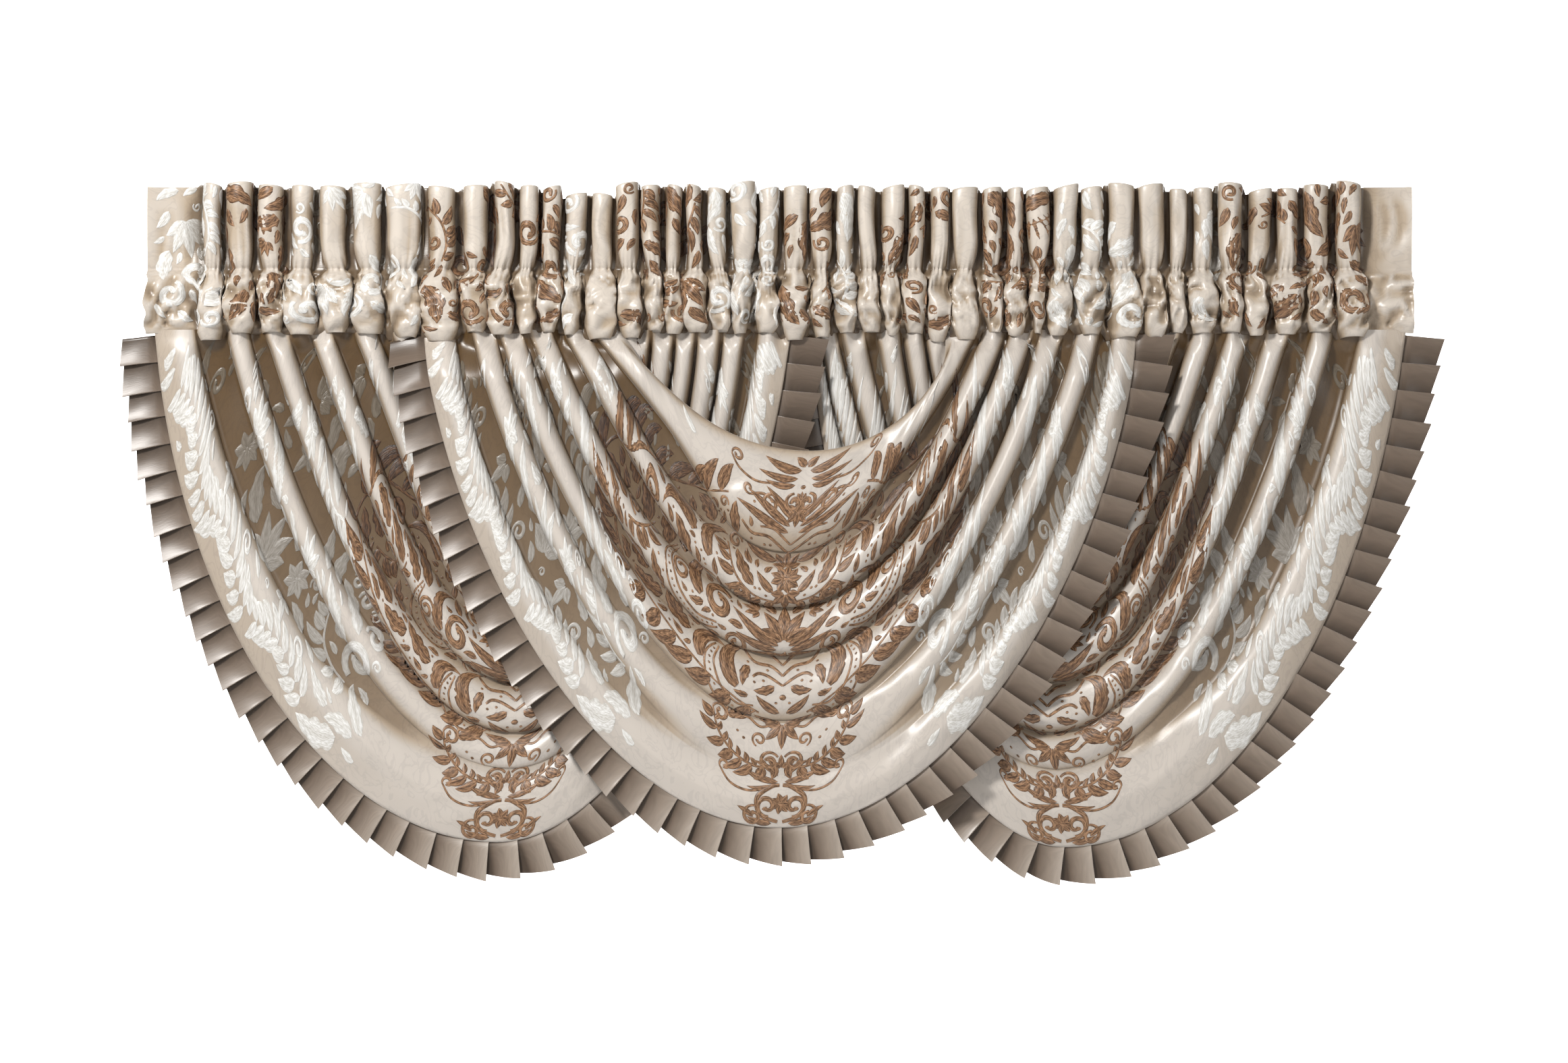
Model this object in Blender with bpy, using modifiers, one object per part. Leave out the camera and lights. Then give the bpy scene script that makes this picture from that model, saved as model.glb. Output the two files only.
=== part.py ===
import math

import bpy
import numpy as np

# Triple swag valance: three draped swags that share one rod line.
# Each swag is a draped body, two gathered headings with a rod pocket,
# and a knife-pleated trim along its curved hem.
# Millimetres until a mesh is made, +Z up, the front faces -Y.
# The origin is at the middle of the top edge.

NAME = "triple_swag_valance"
UNIT = 0.806
MID_X = 1158.0
TOP_Y = 277.0

SHEET = 1.8
STITCH_Z = -98.5
SEAM_Z = -172.5
BODY_TOP_Z = -173.8
CHANNEL_HIGH = -117.0
CHANNEL_LOW = -150.0

TRIM_WIDTH = 44.0
TRIM_GAP = 1.5
TRIM_PITCH = 32.6
TRIM_STEP = 2.6
TRIM_NOTCH = 4.0
TRIM_DROP = 9.0

SETTLE = 60.0
HALF_COLUMNS = 11
LIP_BACK = 6.0
LIP_IN = 4.5

COLUMNS = ("left", "right", "low_x", "low_y", "drop_l", "drop_r", "flat_l", "flat_r", "lean_l", "lean_r")

# One row per fold line, from the hem to the throat edge.
# left and right are places along the seam, low is the lowest point, in picture units.
# drop and flat shape the hang of each half, lean is its tilt.
CENTRE_LINES = (
    (629, 1683, 1155, 1224, .45, .45, .50, .50, .05, .04),
    (658, 1665, 1157, 1190, .45, .45, .48, .48, .06, .06),
    (695, 1637, 1158, 1150, .45, .45, .45, .45, .08, .09),
    (717, 1613, 1158, 1110, .44, .44, .42, .42, .11, .12),
    (738, 1587, 1160, 1069, .44, .44, .42, .42, .12, .13),
    (757, 1559, 1160, 1032, .44, .44, .42, .42, .14, .13),
    (777, 1539, 1160, 969, .44, .44, .42, .42, .16, .14),
    (801, 1515, 1162, 945, .44, .44, .42, .42, .18, .15),
    (826, 1494, 1163, 897, .42, .44, .42, .42, .22, .16),
    (851, 1475, 1164, 876, .40, .44, .42, .42, .25, .18),
    (872, 1456, 1166, 828, .38, .44, .42, .42, .30, .20),
    (894, 1431, 1185, 752, .36, .46, .45, .45, .38, .24),
    (909, 1413, 1200, 669, .40, .55, .50, .50, .40, .12),
)
LEFT_LINES = (
    (231, 1172, 737, 1248, .55, .50, .50, .45, .04, .06),
    (273, 1141, 745, 1195, .52, .50, .46, .45, .07, .06),
    (319, 1106, 755, 1140, .50, .50, .42, .45, .10, .05),
    (352, 1088, 760, 1118, .50, .50, .42, .45, .12, .05),
    (386, 1071, 762, 1085, .50, .50, .42, .45, .13, .04),
    (410, 1051, 765, 1062, .48, .50, .42, .45, .15, .03),
    (445, 1033, 766, 1010, .48, .50, .42, .45, .16, .03),
    (476, 1016, 767, 985, .48, .50, .42, .45, .17, .02),
    (507, 1001, 768, 935, .48, .50, .42, .45, .19, .02),
    (541, 984, 769, 905, .48, .50, .42, .45, .20, .02),
    (575, 966, 770, 850, .48, .50, .42, .45, .20, .02),
    (598, 950, 771, 790, .48, .50, .42, .45, .20, .02),
    (615, 924, 772, 700, .50, .50, .50, .50, .20, .02),
)
RIGHT_LINES = (
    (1203, 2082, 1577, 1256, .50, .52, .45, .50, .02, .06),
    (1208, 2036, 1572, 1200, .50, .50, .45, .46, .05, .08),
    (1213, 1980, 1565, 1142, .50, .50, .45, .42, .08, .13),
    (1222, 1961, 1560, 1118, .50, .50, .45, .42, .12, .14),
    (1243, 1926, 1556, 1085, .50, .50, .45, .42, .11, .15),
    (1263, 1894, 1552, 1062, .50, .50, .45, .42, .11, .15),
    (1290, 1862, 1550, 1010, .50, .50, .45, .42, .09, .15),
    (1316, 1836, 1549, 985, .50, .48, .45, .42, .07, .15),
    (1335, 1810, 1548, 935, .50, .48, .45, .42, .07, .16),
    (1354, 1785, 1547, 905, .50, .48, .45, .42, .07, .16),
    (1369, 1758, 1546, 850, .50, .48, .45, .42, .07, .17),
    (1383, 1733, 1545, 790, .50, .48, .45, .42, .05, .18),
    (1401, 1712, 1544, 700, .50, .50, .50, .50, .05, .15),
)

# How far forward each fold line hangs: -Y is the front, one row per fold line.
# seam is at the heading, arm is further down the side, low is the lowest point.
# nose is how far the fold rolls down over the valley below it.
DEPTHS = ("seam_l", "arm_l", "low", "arm_r", "seam_r", "nose")
CENTRE_DEPTHS = (
    (-14, -34, -36, -34, -14, 0),
    (-20, -46, -41, -46, -20, 0),
    (-4, -30, -38, -30, -4, 0),
    (-20, -50, -43, -50, -20, 2),
    (-4, -29, -37, -29, -4, 0),
    (-20, -52, -51, -52, -20, 6),
    (-4, -28, -34, -28, -4, 0),
    (-20, -53, -52, -53, -20, 9),
    (-4, -28, -34, -28, -4, 0),
    (-20, -52, -54, -52, -20, 9),
    (-4, -28, -35, -28, -4, 0),
    (-20, -46, -50, -46, -20, 8),
    (-17, -34, -38, -34, -17, 0),
)
LEFT_DEPTHS = (
    (-6, -6, -6, -8, -8, 0),
    (-16, -18, -12, -15, -15, 0),
    (0, 4, -6, 5, 0, 0),
    (-16, -18, -13, -14, -14, 4),
    (0, 4, -3, 6, 0, 0),
    (-16, -19, -18, -14, -14, 7),
    (0, 5, 0, 6, 0, 0),
    (-16, -20, -20, -14, -14, 9),
    (0, 5, 2, 6, 0, 0),
    (-16, -19, -18, -14, -14, 8),
    (0, 6, 2, 6, 0, 0),
    (-8, -14, -14, -12, -12, 6),
    (-4, -2, -6, -6, -6, 0),
)
RIGHT_DEPTHS = (
    (4, 14, -2, -6, -6, 0),
    (-1, 9, -10, -18, -16, 0),
    (8, 18, -4, 4, 0, 0),
    (-5, 7, -12, -18, -16, 4),
    (6, 18, -1, 4, 0, 0),
    (-10, 0, -16, -19, -16, 7),
    (4, 14, 2, 5, 0, 0),
    (-14, -6, -18, -20, -16, 9),
    (2, 12, 4, 5, 0, 0),
    (-14, -10, -17, -19, -16, 8),
    (2, 10, 4, 6, 0, 0),
    (-12, -8, -14, -15, -11, 6),
    (-6, 0, -4, -4, -4, 0),
)

# The gathers of each heading: its two ends, the end of its flat tab if it has one,
# how far forward its seam sits, and the place of every ruffle along the rod.
HEADINGS = (
    ("heading_left_outer", 221, 625, 296, 0, -8, (314, 354, 404, 447, 494, 546, 596)),
    ("heading_centre_left", 629, 912, 0, 0, -12, (660, 706, 748, 784, 816, 852, 888)),
    ("heading_left_inner", 916, 1197, 0, 0, -8, (934, 967, 999, 1029, 1063, 1101, 1139, 1175)),
    ("heading_right_inner", 1201, 1406, 0, 0, -6, (1222, 1252, 1286, 1323, 1358, 1390)),
    ("heading_centre_right", 1410, 1685, 0, 0, -12, (1437, 1471, 1505, 1536, 1575, 1618, 1658)),
    ("heading_right_outer", 1689, 2090, 0, 2024, -8, (1712, 1745, 1780, 1824, 1865, 1906, 1952, 1998)),
)
LOW_RUFFLES = (852, 888)
RUFFLE_TOP = 7.0
VALLEY_TOP = -5.0

CLOTH_COLOURS = {
    "body": (0.72, 0.66, 0.58),
    "heading": (0.68, 0.60, 0.51),
    "trim": (0.42, 0.35, 0.28),
}


def smooth(value):
    t = np.clip(value, 0.0, 1.0)
    return t * t * (3.0 - 2.0 * t)


def place(x, y):
    return (x - MID_X) * UNIT, -(y - TOP_Y) * UNIT


def fold_line(row, across):
    """Place of one fold line at each value of across, -1 left seam to 1 right seam."""
    line = dict(zip(COLUMNS, row))
    low_x, low_z = place(line["low_x"], line["low_y"])
    depth = low_z - BODY_TOP_Z
    t = 1.0 - np.abs(across)
    points = []
    for side, sign in (("left", 1.0), ("right", -1.0)):
        tag = side[0]
        start = (line[side] - MID_X) * UNIT
        first = start - sign * line["lean_" + tag] * depth
        second = low_x - line["flat_" + tag] * (low_x - start)
        knee = BODY_TOP_Z + line["drop_" + tag] * depth
        weights = ((1 - t) ** 3, 3 * t * (1 - t) ** 2, 3 * t * t * (1 - t), t ** 3)
        x = weights[0] * start + weights[1] * first + weights[2] * second + weights[3] * low_x
        z = weights[0] * BODY_TOP_Z + weights[1] * knee + weights[2] * low_z + weights[3] * low_z
        points.append((x, z))
    x = np.where(across < 0, points[0][0], points[1][0])
    z = np.where(across < 0, points[0][1], points[1][1])
    return x, z


def fold_depth(row, across, z):
    """How far forward a fold line hangs: it settles below the seam, then meets its low value."""
    level = dict(zip(DEPTHS, row))
    seam = np.where(across < 0, level["seam_l"], level["seam_r"])
    arm = np.where(across < 0, level["arm_l"], level["arm_r"])
    y = seam + (arm - seam) * smooth((BODY_TOP_Z - z) / SETTLE)
    t = 1.0 - np.abs(across)
    return y + (level["low"] - y) * smooth((t - 0.4) / 0.5)


def body_rows(lines, depths, across):
    """Rows of points from the hem to the rolled throat edge."""
    t = 1.0 - np.abs(across)
    hang = smooth((t - 0.35) / 0.5)
    curves = []
    for line, depth in zip(lines, depths):
        x, z = fold_line(line, across)
        curves.append((x, fold_depth(depth, across, z), z))
    rows = []
    for index in range(len(curves) - 1):
        here = np.array(curves[index])
        there = np.array(curves[index + 1])
        rows.append(here)
        between = 0.5 * (here + there)
        to_crest = index % 2 == 0
        crest, valley = (there, here) if to_crest else (here, there)
        if index == 0:
            between[1] = 0.35 * here[1] + 0.65 * there[1]
        elif to_crest:
            nose = depths[index + 1][5] * hang
            share = 0.28 - 0.22 * smooth(nose / 8.0)
            between[1] = (1.0 - share) * crest[1] + share * valley[1]
            between[2] = between[2] - nose
        else:
            between[1] = 0.7 * crest[1] + 0.3 * valley[1]
        rows.append(between)
    edge = np.array(curves[-1])
    rows.append(edge)
    inward = np.array(curves[-2]) - edge
    inward[1] = 0.0
    inward = inward / np.maximum(np.hypot(inward[0], inward[2]), 1.0)
    lip = edge + LIP_IN * inward
    lip[1] = edge[1] + LIP_BACK
    lip[2] = np.minimum(lip[2], BODY_TOP_Z)
    rows.append(lip)
    return rows


def make_sheet(name, rows, closed, thickness, material):
    """A grid of points as one cloth of even thickness."""
    count = len(rows[0][0])
    points = []
    for row in rows:
        for x, y, z in zip(row[0], row[1], row[2]):
            points.append((x * 0.001, y * 0.001, z * 0.001))
    faces = []
    for r in range(len(rows) - 1):
        for c in range(count - 1):
            a = r * count + c
            b = a + count
            faces.append((a, a + 1, b + 1, b) if closed else (a, b, b + 1, a + 1))
    mesh = bpy.data.meshes.new(name)
    mesh.from_pydata(points, [], faces)
    mesh.update()
    thing = bpy.data.objects.new(name, mesh)
    collection.objects.link(thing)
    mesh.materials.append(material)
    solid = thing.modifiers.new("cloth", "SOLIDIFY")
    solid.thickness = thickness * 0.001
    solid.offset = 0.0
    for polygon in mesh.polygons:
        polygon.use_smooth = True
    return thing


def make_material(name, colour, rough):
    material = bpy.data.materials.new(name)
    material.use_nodes = True
    shader = material.node_tree.nodes["Principled BSDF"]
    shader.inputs["Base Color"].default_value = (colour[0], colour[1], colour[2], 1.0)
    shader.inputs["Roughness"].default_value = rough
    material.diffuse_color = (colour[0], colour[1], colour[2], 1.0)
    return material


def make_body(name, lines, depths):
    across = np.linspace(-1.0, 1.0, 2 * HALF_COLUMNS + 1)
    rows = body_rows(lines, depths, across)
    make_sheet(name, rows, False, SHEET, make_material(name, CLOTH_COLOURS["body"], 0.45))


def heading_columns(start, end, tab_left, tab_right, ruffles):
    """Places along the rod and how far each comes forward: 1 is a crest, -1 is a valley."""
    columns = [(start, 0.1)]
    if tab_left:
        columns += [(0.5 * (start + tab_left), 0.15), (tab_left - 6, 0.0)]
    previous = None
    for ruffle in ruffles:
        if previous is None:
            begin = tab_left if tab_left else start
            gap = ruffle - begin
            columns.append((begin + 0.35 * gap, -0.8))
            columns.append((begin + 0.75 * gap, 0.45))
        else:
            gap = ruffle - previous
            columns.append((previous + 0.27 * gap, 0.45))
            columns.append((previous + 0.50 * gap, -1.0))
            columns.append((previous + 0.73 * gap, 0.45))
        columns.append((ruffle, 1.0))
        previous = ruffle
    finish = tab_right if tab_right else end
    gap = finish - previous
    columns.append((previous + 0.30 * gap, 0.5))
    columns.append((previous + 0.65 * gap, -0.8 if gap > 28 else -0.2))
    if tab_right:
        columns += [(tab_right + 6, 0.0), (0.5 * (tab_right + end), 0.15)]
    columns.append((end, 0.1))
    return columns


def make_heading(name, start, end, tab_left, tab_right, seam, ruffles):
    """A gathered strip folded back on itself: a ruffle on top and a rod pocket below."""
    columns = heading_columns(start, end, tab_left, tab_right, ruffles)
    x = np.array([(place_x - MID_X) * UNIT for place_x, wave in columns])
    wave = np.array([wave for place_x, wave in columns])
    swing = np.sin(0.045 * x) + 0.6 * np.sin(0.113 * x + 1.0)
    top = 0.5 * (RUFFLE_TOP + VALLEY_TOP) + 0.5 * (RUFFLE_TOP - VALLEY_TOP) * wave + 2.0 * swing
    for index, (place_x, crest) in enumerate(columns):
        near = min(abs(place_x - ruffle) for ruffle in LOW_RUFFLES)
        if near < 16:
            top[index] -= 9.0
    flat = np.ones_like(x)
    profile = (
        (-1.5 - 11.0 * wave, top),
        (-1.0 - 12.0 * wave, -50.0 + 2.0 * swing),
        (-6.0 * wave, STITCH_Z * flat),
        (-18.5 - 5.5 * wave - swing, CHANNEL_HIGH * flat),
        (-21.0 - 7.0 * wave + swing, CHANNEL_LOW * flat),
        (seam - 7.0 * wave, SEAM_Z * flat + 0.9),
        (17.5 + 3.0 * wave, CHANNEL_LOW * flat),
        (16.0 + 3.0 * wave, CHANNEL_HIGH * flat),
        (3.4 - 6.0 * wave, (STITCH_Z - 1.0) * flat),
    )
    rows = [np.array((x, y, z)) for y, z in profile]
    make_sheet(name, rows, False, SHEET, make_material(name, CLOTH_COLOURS["heading"], 0.5))


def make_trim(name, lines, depths):
    """A strip of knife pleats that runs along the curved hem."""
    across = np.linspace(-1.0, 1.0, 801)
    x, z = fold_line(lines[0], across)
    y = fold_depth(depths[0], across, z)
    hung = z < BODY_TOP_Z - TRIM_DROP
    x, y, z = x[hung], y[hung], z[hung]
    steps = np.hypot(np.diff(x), np.diff(z))
    run = np.concatenate(([0.0], np.cumsum(steps)))
    pleats = int(round(run[-1] / TRIM_PITCH))
    pitch = run[-1] / pleats
    stations = []
    for pleat in range(pleats):
        stations.append((pleat * pitch + 0.9, 0.0, TRIM_WIDTH - TRIM_NOTCH))
        stations.append(((pleat + 1) * pitch - 0.9, -TRIM_STEP, TRIM_WIDTH))
    rows = [[], []]
    for place_s, forward, width in stations:
        px = np.interp(place_s, run, x)
        py = np.interp(place_s, run, y)
        pz = np.interp(place_s, run, z)
        tx = np.interp(place_s + 2.0, run, x) - np.interp(place_s - 2.0, run, x)
        tz = np.interp(place_s + 2.0, run, z) - np.interp(place_s - 2.0, run, z)
        size = math.hypot(tx, tz)
        nx = tz / size
        nz = -tx / size
        rows[0].append((px + nx * TRIM_GAP, py + forward, pz + nz * TRIM_GAP))
        rows[1].append((px + nx * width, py + forward - 1.5, pz + nz * width))
    grid = [np.array(row).T for row in rows]
    make_sheet(name, grid, True, SHEET - 0.2, make_material(name, CLOTH_COLOURS["trim"], 0.4))


for old in list(bpy.data.objects):
    bpy.data.objects.remove(old, do_unlink=True)

collection = bpy.data.collections.new(NAME)
bpy.context.scene.collection.children.link(collection)

make_body("body_left", LEFT_LINES, LEFT_DEPTHS)
make_body("body_centre", CENTRE_LINES, CENTRE_DEPTHS)
make_body("body_right", RIGHT_LINES, RIGHT_DEPTHS)
make_trim("trim_left", LEFT_LINES, LEFT_DEPTHS)
make_trim("trim_centre", CENTRE_LINES, CENTRE_DEPTHS)
make_trim("trim_right", RIGHT_LINES, RIGHT_DEPTHS)
for heading in HEADINGS:
    make_heading(*heading)
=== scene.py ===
import math
from collections import namedtuple

import bpy
import numpy as np
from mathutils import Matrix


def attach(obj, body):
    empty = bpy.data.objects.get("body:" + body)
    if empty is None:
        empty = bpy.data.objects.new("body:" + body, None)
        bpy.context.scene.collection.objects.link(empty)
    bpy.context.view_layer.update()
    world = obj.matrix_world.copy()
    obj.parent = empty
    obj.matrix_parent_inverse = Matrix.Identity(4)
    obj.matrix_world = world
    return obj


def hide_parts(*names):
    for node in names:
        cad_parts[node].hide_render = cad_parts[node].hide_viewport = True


# Triple swag valance. Millimetres until a mesh is made, the front faces -Y.
# The fold tables repeat those of the CAD model, so each cloth lies where its solid does.

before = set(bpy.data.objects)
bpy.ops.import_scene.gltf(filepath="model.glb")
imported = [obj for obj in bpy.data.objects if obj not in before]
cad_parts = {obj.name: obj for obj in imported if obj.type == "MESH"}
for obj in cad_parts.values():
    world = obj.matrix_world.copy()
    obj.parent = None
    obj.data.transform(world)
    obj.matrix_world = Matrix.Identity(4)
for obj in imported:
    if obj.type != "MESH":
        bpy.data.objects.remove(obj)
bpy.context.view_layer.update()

# Places read off the photo are in its own units: its width and height, the millimetres of one unit,
# and where the valance's middle and its top edge are.
PICTURE_WIDE = 2324.0
PICTURE_HIGH = 1576.0
UNIT = 0.806
MID_X = 1158.0
TOP_Y = 277.0

# The height at which the bodies start, and how far below it the arms have their full depth.
BODY_TOP_Z = -173.8
SETTLE = 60.0

# The trim's width, the length of a pleat, where it starts under the bodies' top, how far each pleat
# goes under the one before, and how far its face slants from back to front.
TRIM_WIDTH = 44.0
TRIM_PITCH = 32.6
TRIM_DROP = 2.6
TRIM_LAP = 12.0
TRIM_RISE = 6.0

# Each swag's fold lines from the hem up, crests and valleys by turns. The ends and the lowest place are
# in the photo's units. Drop, flat and lean say how steeply a line leaves its seam and how flat it ends.
COLUMNS = ("left", "right", "low_x", "low_y", "drop_l", "drop_r", "flat_l", "flat_r", "lean_l", "lean_r")
CENTRE_LINES = (
    (629, 1683, 1155, 1224, .45, .45, .50, .50, .05, .04),
    (658, 1665, 1157, 1190, .45, .45, .48, .48, .06, .06),
    (695, 1637, 1158, 1150, .45, .45, .45, .45, .08, .09),
    (717, 1613, 1158, 1110, .44, .44, .42, .42, .11, .12),
    (738, 1587, 1160, 1069, .44, .44, .42, .42, .12, .13),
    (757, 1559, 1160, 1032, .44, .44, .42, .42, .14, .13),
    (777, 1539, 1160, 969, .44, .44, .42, .42, .16, .14),
    (801, 1515, 1162, 945, .44, .44, .42, .42, .18, .15),
    (826, 1494, 1163, 897, .42, .44, .42, .42, .22, .16),
    (851, 1475, 1164, 876, .40, .44, .42, .42, .25, .18),
    (872, 1456, 1166, 828, .38, .44, .42, .42, .30, .20),
    (894, 1431, 1185, 752, .36, .46, .45, .45, .38, .24),
    (909, 1413, 1200, 669, .40, .55, .50, .50, .40, .12),
)
LEFT_LINES = (
    (231, 1172, 737, 1248, .55, .50, .50, .45, .04, .06),
    (273, 1141, 745, 1195, .52, .50, .46, .45, .07, .06),
    (319, 1106, 755, 1140, .50, .50, .42, .45, .10, .05),
    (352, 1088, 760, 1118, .50, .50, .42, .45, .12, .05),
    (386, 1071, 762, 1085, .50, .50, .42, .45, .13, .04),
    (410, 1051, 765, 1062, .48, .50, .42, .45, .15, .03),
    (445, 1033, 766, 1010, .48, .50, .42, .45, .16, .03),
    (476, 1016, 767, 985, .48, .50, .42, .45, .17, .02),
    (507, 1001, 768, 935, .48, .50, .42, .45, .19, .02),
    (541, 984, 769, 905, .48, .50, .42, .45, .20, .02),
    (575, 966, 770, 850, .48, .50, .42, .45, .20, .02),
    (598, 950, 771, 790, .48, .50, .42, .45, .20, .02),
    (615, 924, 772, 700, .50, .50, .50, .50, .20, .02),
)
RIGHT_LINES = (
    (1203, 2082, 1577, 1256, .50, .52, .45, .50, .02, .06),
    (1208, 2036, 1572, 1200, .50, .50, .45, .46, .05, .08),
    (1213, 1980, 1565, 1142, .50, .50, .45, .42, .08, .13),
    (1222, 1961, 1560, 1118, .50, .50, .45, .42, .12, .14),
    (1243, 1926, 1556, 1085, .50, .50, .45, .42, .11, .15),
    (1263, 1894, 1552, 1062, .50, .50, .45, .42, .11, .15),
    (1290, 1862, 1550, 1010, .50, .50, .45, .42, .09, .15),
    (1316, 1836, 1549, 985, .50, .48, .45, .42, .07, .15),
    (1335, 1810, 1548, 935, .50, .48, .45, .42, .07, .16),
    (1354, 1785, 1547, 905, .50, .48, .45, .42, .07, .16),
    (1369, 1758, 1546, 850, .50, .48, .45, .42, .07, .17),
    (1383, 1733, 1545, 790, .50, .48, .45, .42, .05, .18),
    (1401, 1712, 1544, 700, .50, .50, .50, .50, .05, .15),
)
# How far back each of those lines lies in millimetres, less than 0 in front of the rod's plane, and how
# far a crest's fold sags over the one below it.
DEPTHS = ("seam_l", "arm_l", "low", "arm_r", "seam_r", "nose")
CENTRE_DEPTHS = (
    (-14, -34, -36, -34, -14, 0),
    (-20, -46, -41, -46, -20, 0),
    (-4, -30, -38, -30, -4, 0),
    (-20, -50, -43, -50, -20, 2),
    (-4, -29, -37, -29, -4, 0),
    (-20, -52, -51, -52, -20, 6),
    (-4, -28, -34, -28, -4, 0),
    (-20, -53, -52, -53, -20, 9),
    (-4, -28, -34, -28, -4, 0),
    (-20, -52, -54, -52, -20, 9),
    (-4, -28, -35, -28, -4, 0),
    (-20, -46, -50, -46, -20, 8),
    (-17, -34, -38, -34, -17, 0),
)
LEFT_DEPTHS = (
    (-6, -6, -6, -8, -8, 0),
    (-16, -18, -12, -15, -15, 0),
    (0, 4, -6, 5, 0, 0),
    (-16, -18, -13, -14, -14, 4),
    (0, 4, -3, 6, 0, 0),
    (-16, -19, -18, -14, -14, 7),
    (0, 5, 0, 6, 0, 0),
    (-16, -20, -20, -14, -14, 9),
    (0, 5, 2, 6, 0, 0),
    (-16, -19, -18, -14, -14, 8),
    (0, 6, 2, 6, 0, 0),
    (-8, -14, -14, -12, -12, 6),
    (-4, -2, -6, -6, -6, 0),
)
RIGHT_DEPTHS = (
    (4, 14, -2, -6, -6, 0),
    (-1, 9, -10, -18, -16, 0),
    (8, 18, -4, 4, 0, 0),
    (-5, 7, -12, -18, -16, 4),
    (6, 18, -1, 4, 0, 0),
    (-10, 0, -16, -19, -16, 7),
    (4, 14, 2, 5, 0, 0),
    (-14, -6, -18, -20, -16, 9),
    (2, 12, 4, 5, 0, 0),
    (-14, -10, -17, -19, -16, 8),
    (2, 10, 4, 6, 0, 0),
    (-12, -8, -14, -15, -11, 6),
    (-6, 0, -4, -4, -4, 0),
)

# Each heading along the rod in the photo's units: its ends, where its flat tab stops or starts (0 where
# it has none), how far back its seam with the body is in millimetres, and the crests of its gathers.
Heading = namedtuple("Heading", "name start end tab_l tab_r seam ruffles")
HEADINGS = tuple(Heading(*row) for row in (
    ("heading_left_outer", 221, 625, 296, 0, -8, (314, 354, 404, 447, 494, 546, 596)),
    ("heading_centre_left", 629, 912, 0, 0, -12, (660, 706, 748, 784, 816, 852, 888)),
    ("heading_left_inner", 916, 1197, 0, 0, -8, (934, 967, 999, 1029, 1063, 1101, 1139, 1175)),
    ("heading_right_inner", 1201, 1406, 0, 0, -6, (1222, 1252, 1286, 1323, 1358, 1390)),
    ("heading_centre_right", 1410, 1685, 0, 0, -12, (1437, 1471, 1505, 1536, 1575, 1618, 1658)),
    ("heading_right_outer", 1689, 2090, 0, 2024, -8, (1712, 1745, 1780, 1824, 1865, 1906, 1952, 1998)),
))
HEADING_OF = {heading.name: heading for heading in HEADINGS}

# Each swag's lines, depths, headings, and the power that makes its painted fold shade darker.
SWAGS = (
    ("left", LEFT_LINES, LEFT_DEPTHS, "heading_left_outer", "heading_left_inner", 1.2),
    ("centre", CENTRE_LINES, CENTRE_DEPTHS, "heading_centre_left", "heading_centre_right", 1.0),
    ("right", RIGHT_LINES, RIGHT_DEPTHS, "heading_right_inner", "heading_right_outer", 1.2),
)

# Small dents in the soft cloth: place and size in the photo's units, and depth in millimetres.
DENTS = (
    (1088, 712, 15, 5.0), (1104, 724, 10, -2.5), (1290, 700, 17, 5.0), (1272, 716, 10, -2.5),
    (1010, 800, 20, 3.0), (1330, 812, 18, 3.0), (1128, 902, 16, -2.5), (1204, 962, 18, 2.5),
    (1236, 1050, 22, 2.5), (1052, 1106, 20, 2.0), (640, 742, 20, 3.0), (706, 860, 18, 3.0),
    (764, 1004, 20, 2.5), (700, 1130, 26, 2.5), (1660, 760, 20, 3.0), (1600, 884, 18, 3.0),
    (1540, 1012, 20, 2.5), (1640, 1120, 26, 2.5), (430, 1010, 30, 2.5), (1890, 1000, 30, 2.5),
)

# The grid of a body: points along a fold, rows over the tube at a crest and over the floor beside it,
# the part of the way to the valley that the tube's rows take, and half the tube's width in the arms.
ALONG = 321
TUBE_ROWS = 8
FLOOR_ROWS = 3
TUBE_PART = 0.75
TUBE_HALF = 14.0

# The hem's turn: how far inside the hem each row lies, and how far behind it.
HEM_TURN = ((11.0, 2.2), (5.0, 2.3), (1.2, 2.0), (0.1, 1.2), (0.0, 0.5))

# The neck edge: its roll's radius, and how far it opens sideways at the seam and over what height.
NECK_ROLL = 2.6
NECK_OPENS = 8.5
NECK_OPENS_OVER = 44.0

# A leaf wider than this has a vein, and a thread lies this far over the cloth.
VEIN_FROM = 5.0
THREAD_RISE = 0.42

WHITE = (1.0, 1.0, 1.0)


def real_x(x):
    """Millimetres from the middle of a place in the photo's units."""
    return (x - MID_X) * UNIT


def picture_x(x):
    """The photo's units of a place in millimetres from the middle."""
    return x / UNIT + MID_X


def smooth(value):
    """0 below 0, 1 above 1 and a soft step between."""
    t = np.clip(value, 0.0, 1.0)
    return t * t * (3.0 - 2.0 * t)


def noise(x, y, seed):
    """Smooth noise from -1 to 1 with one bump about each unit."""
    table = np.random.RandomState(seed).rand(64, 64) * 2.0 - 1.0
    xi = np.floor(x).astype(int)
    yi = np.floor(y).astype(int)
    fx = smooth(x - xi)
    fy = smooth(y - yi)
    here, right = xi % 64, (xi + 1) % 64
    low = table[here, yi % 64] * (1 - fx) + table[right, yi % 64] * fx
    high = table[here, (yi + 1) % 64] * (1 - fx) + table[right, (yi + 1) % 64] * fx
    return low * (1 - fy) + high * fy


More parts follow.
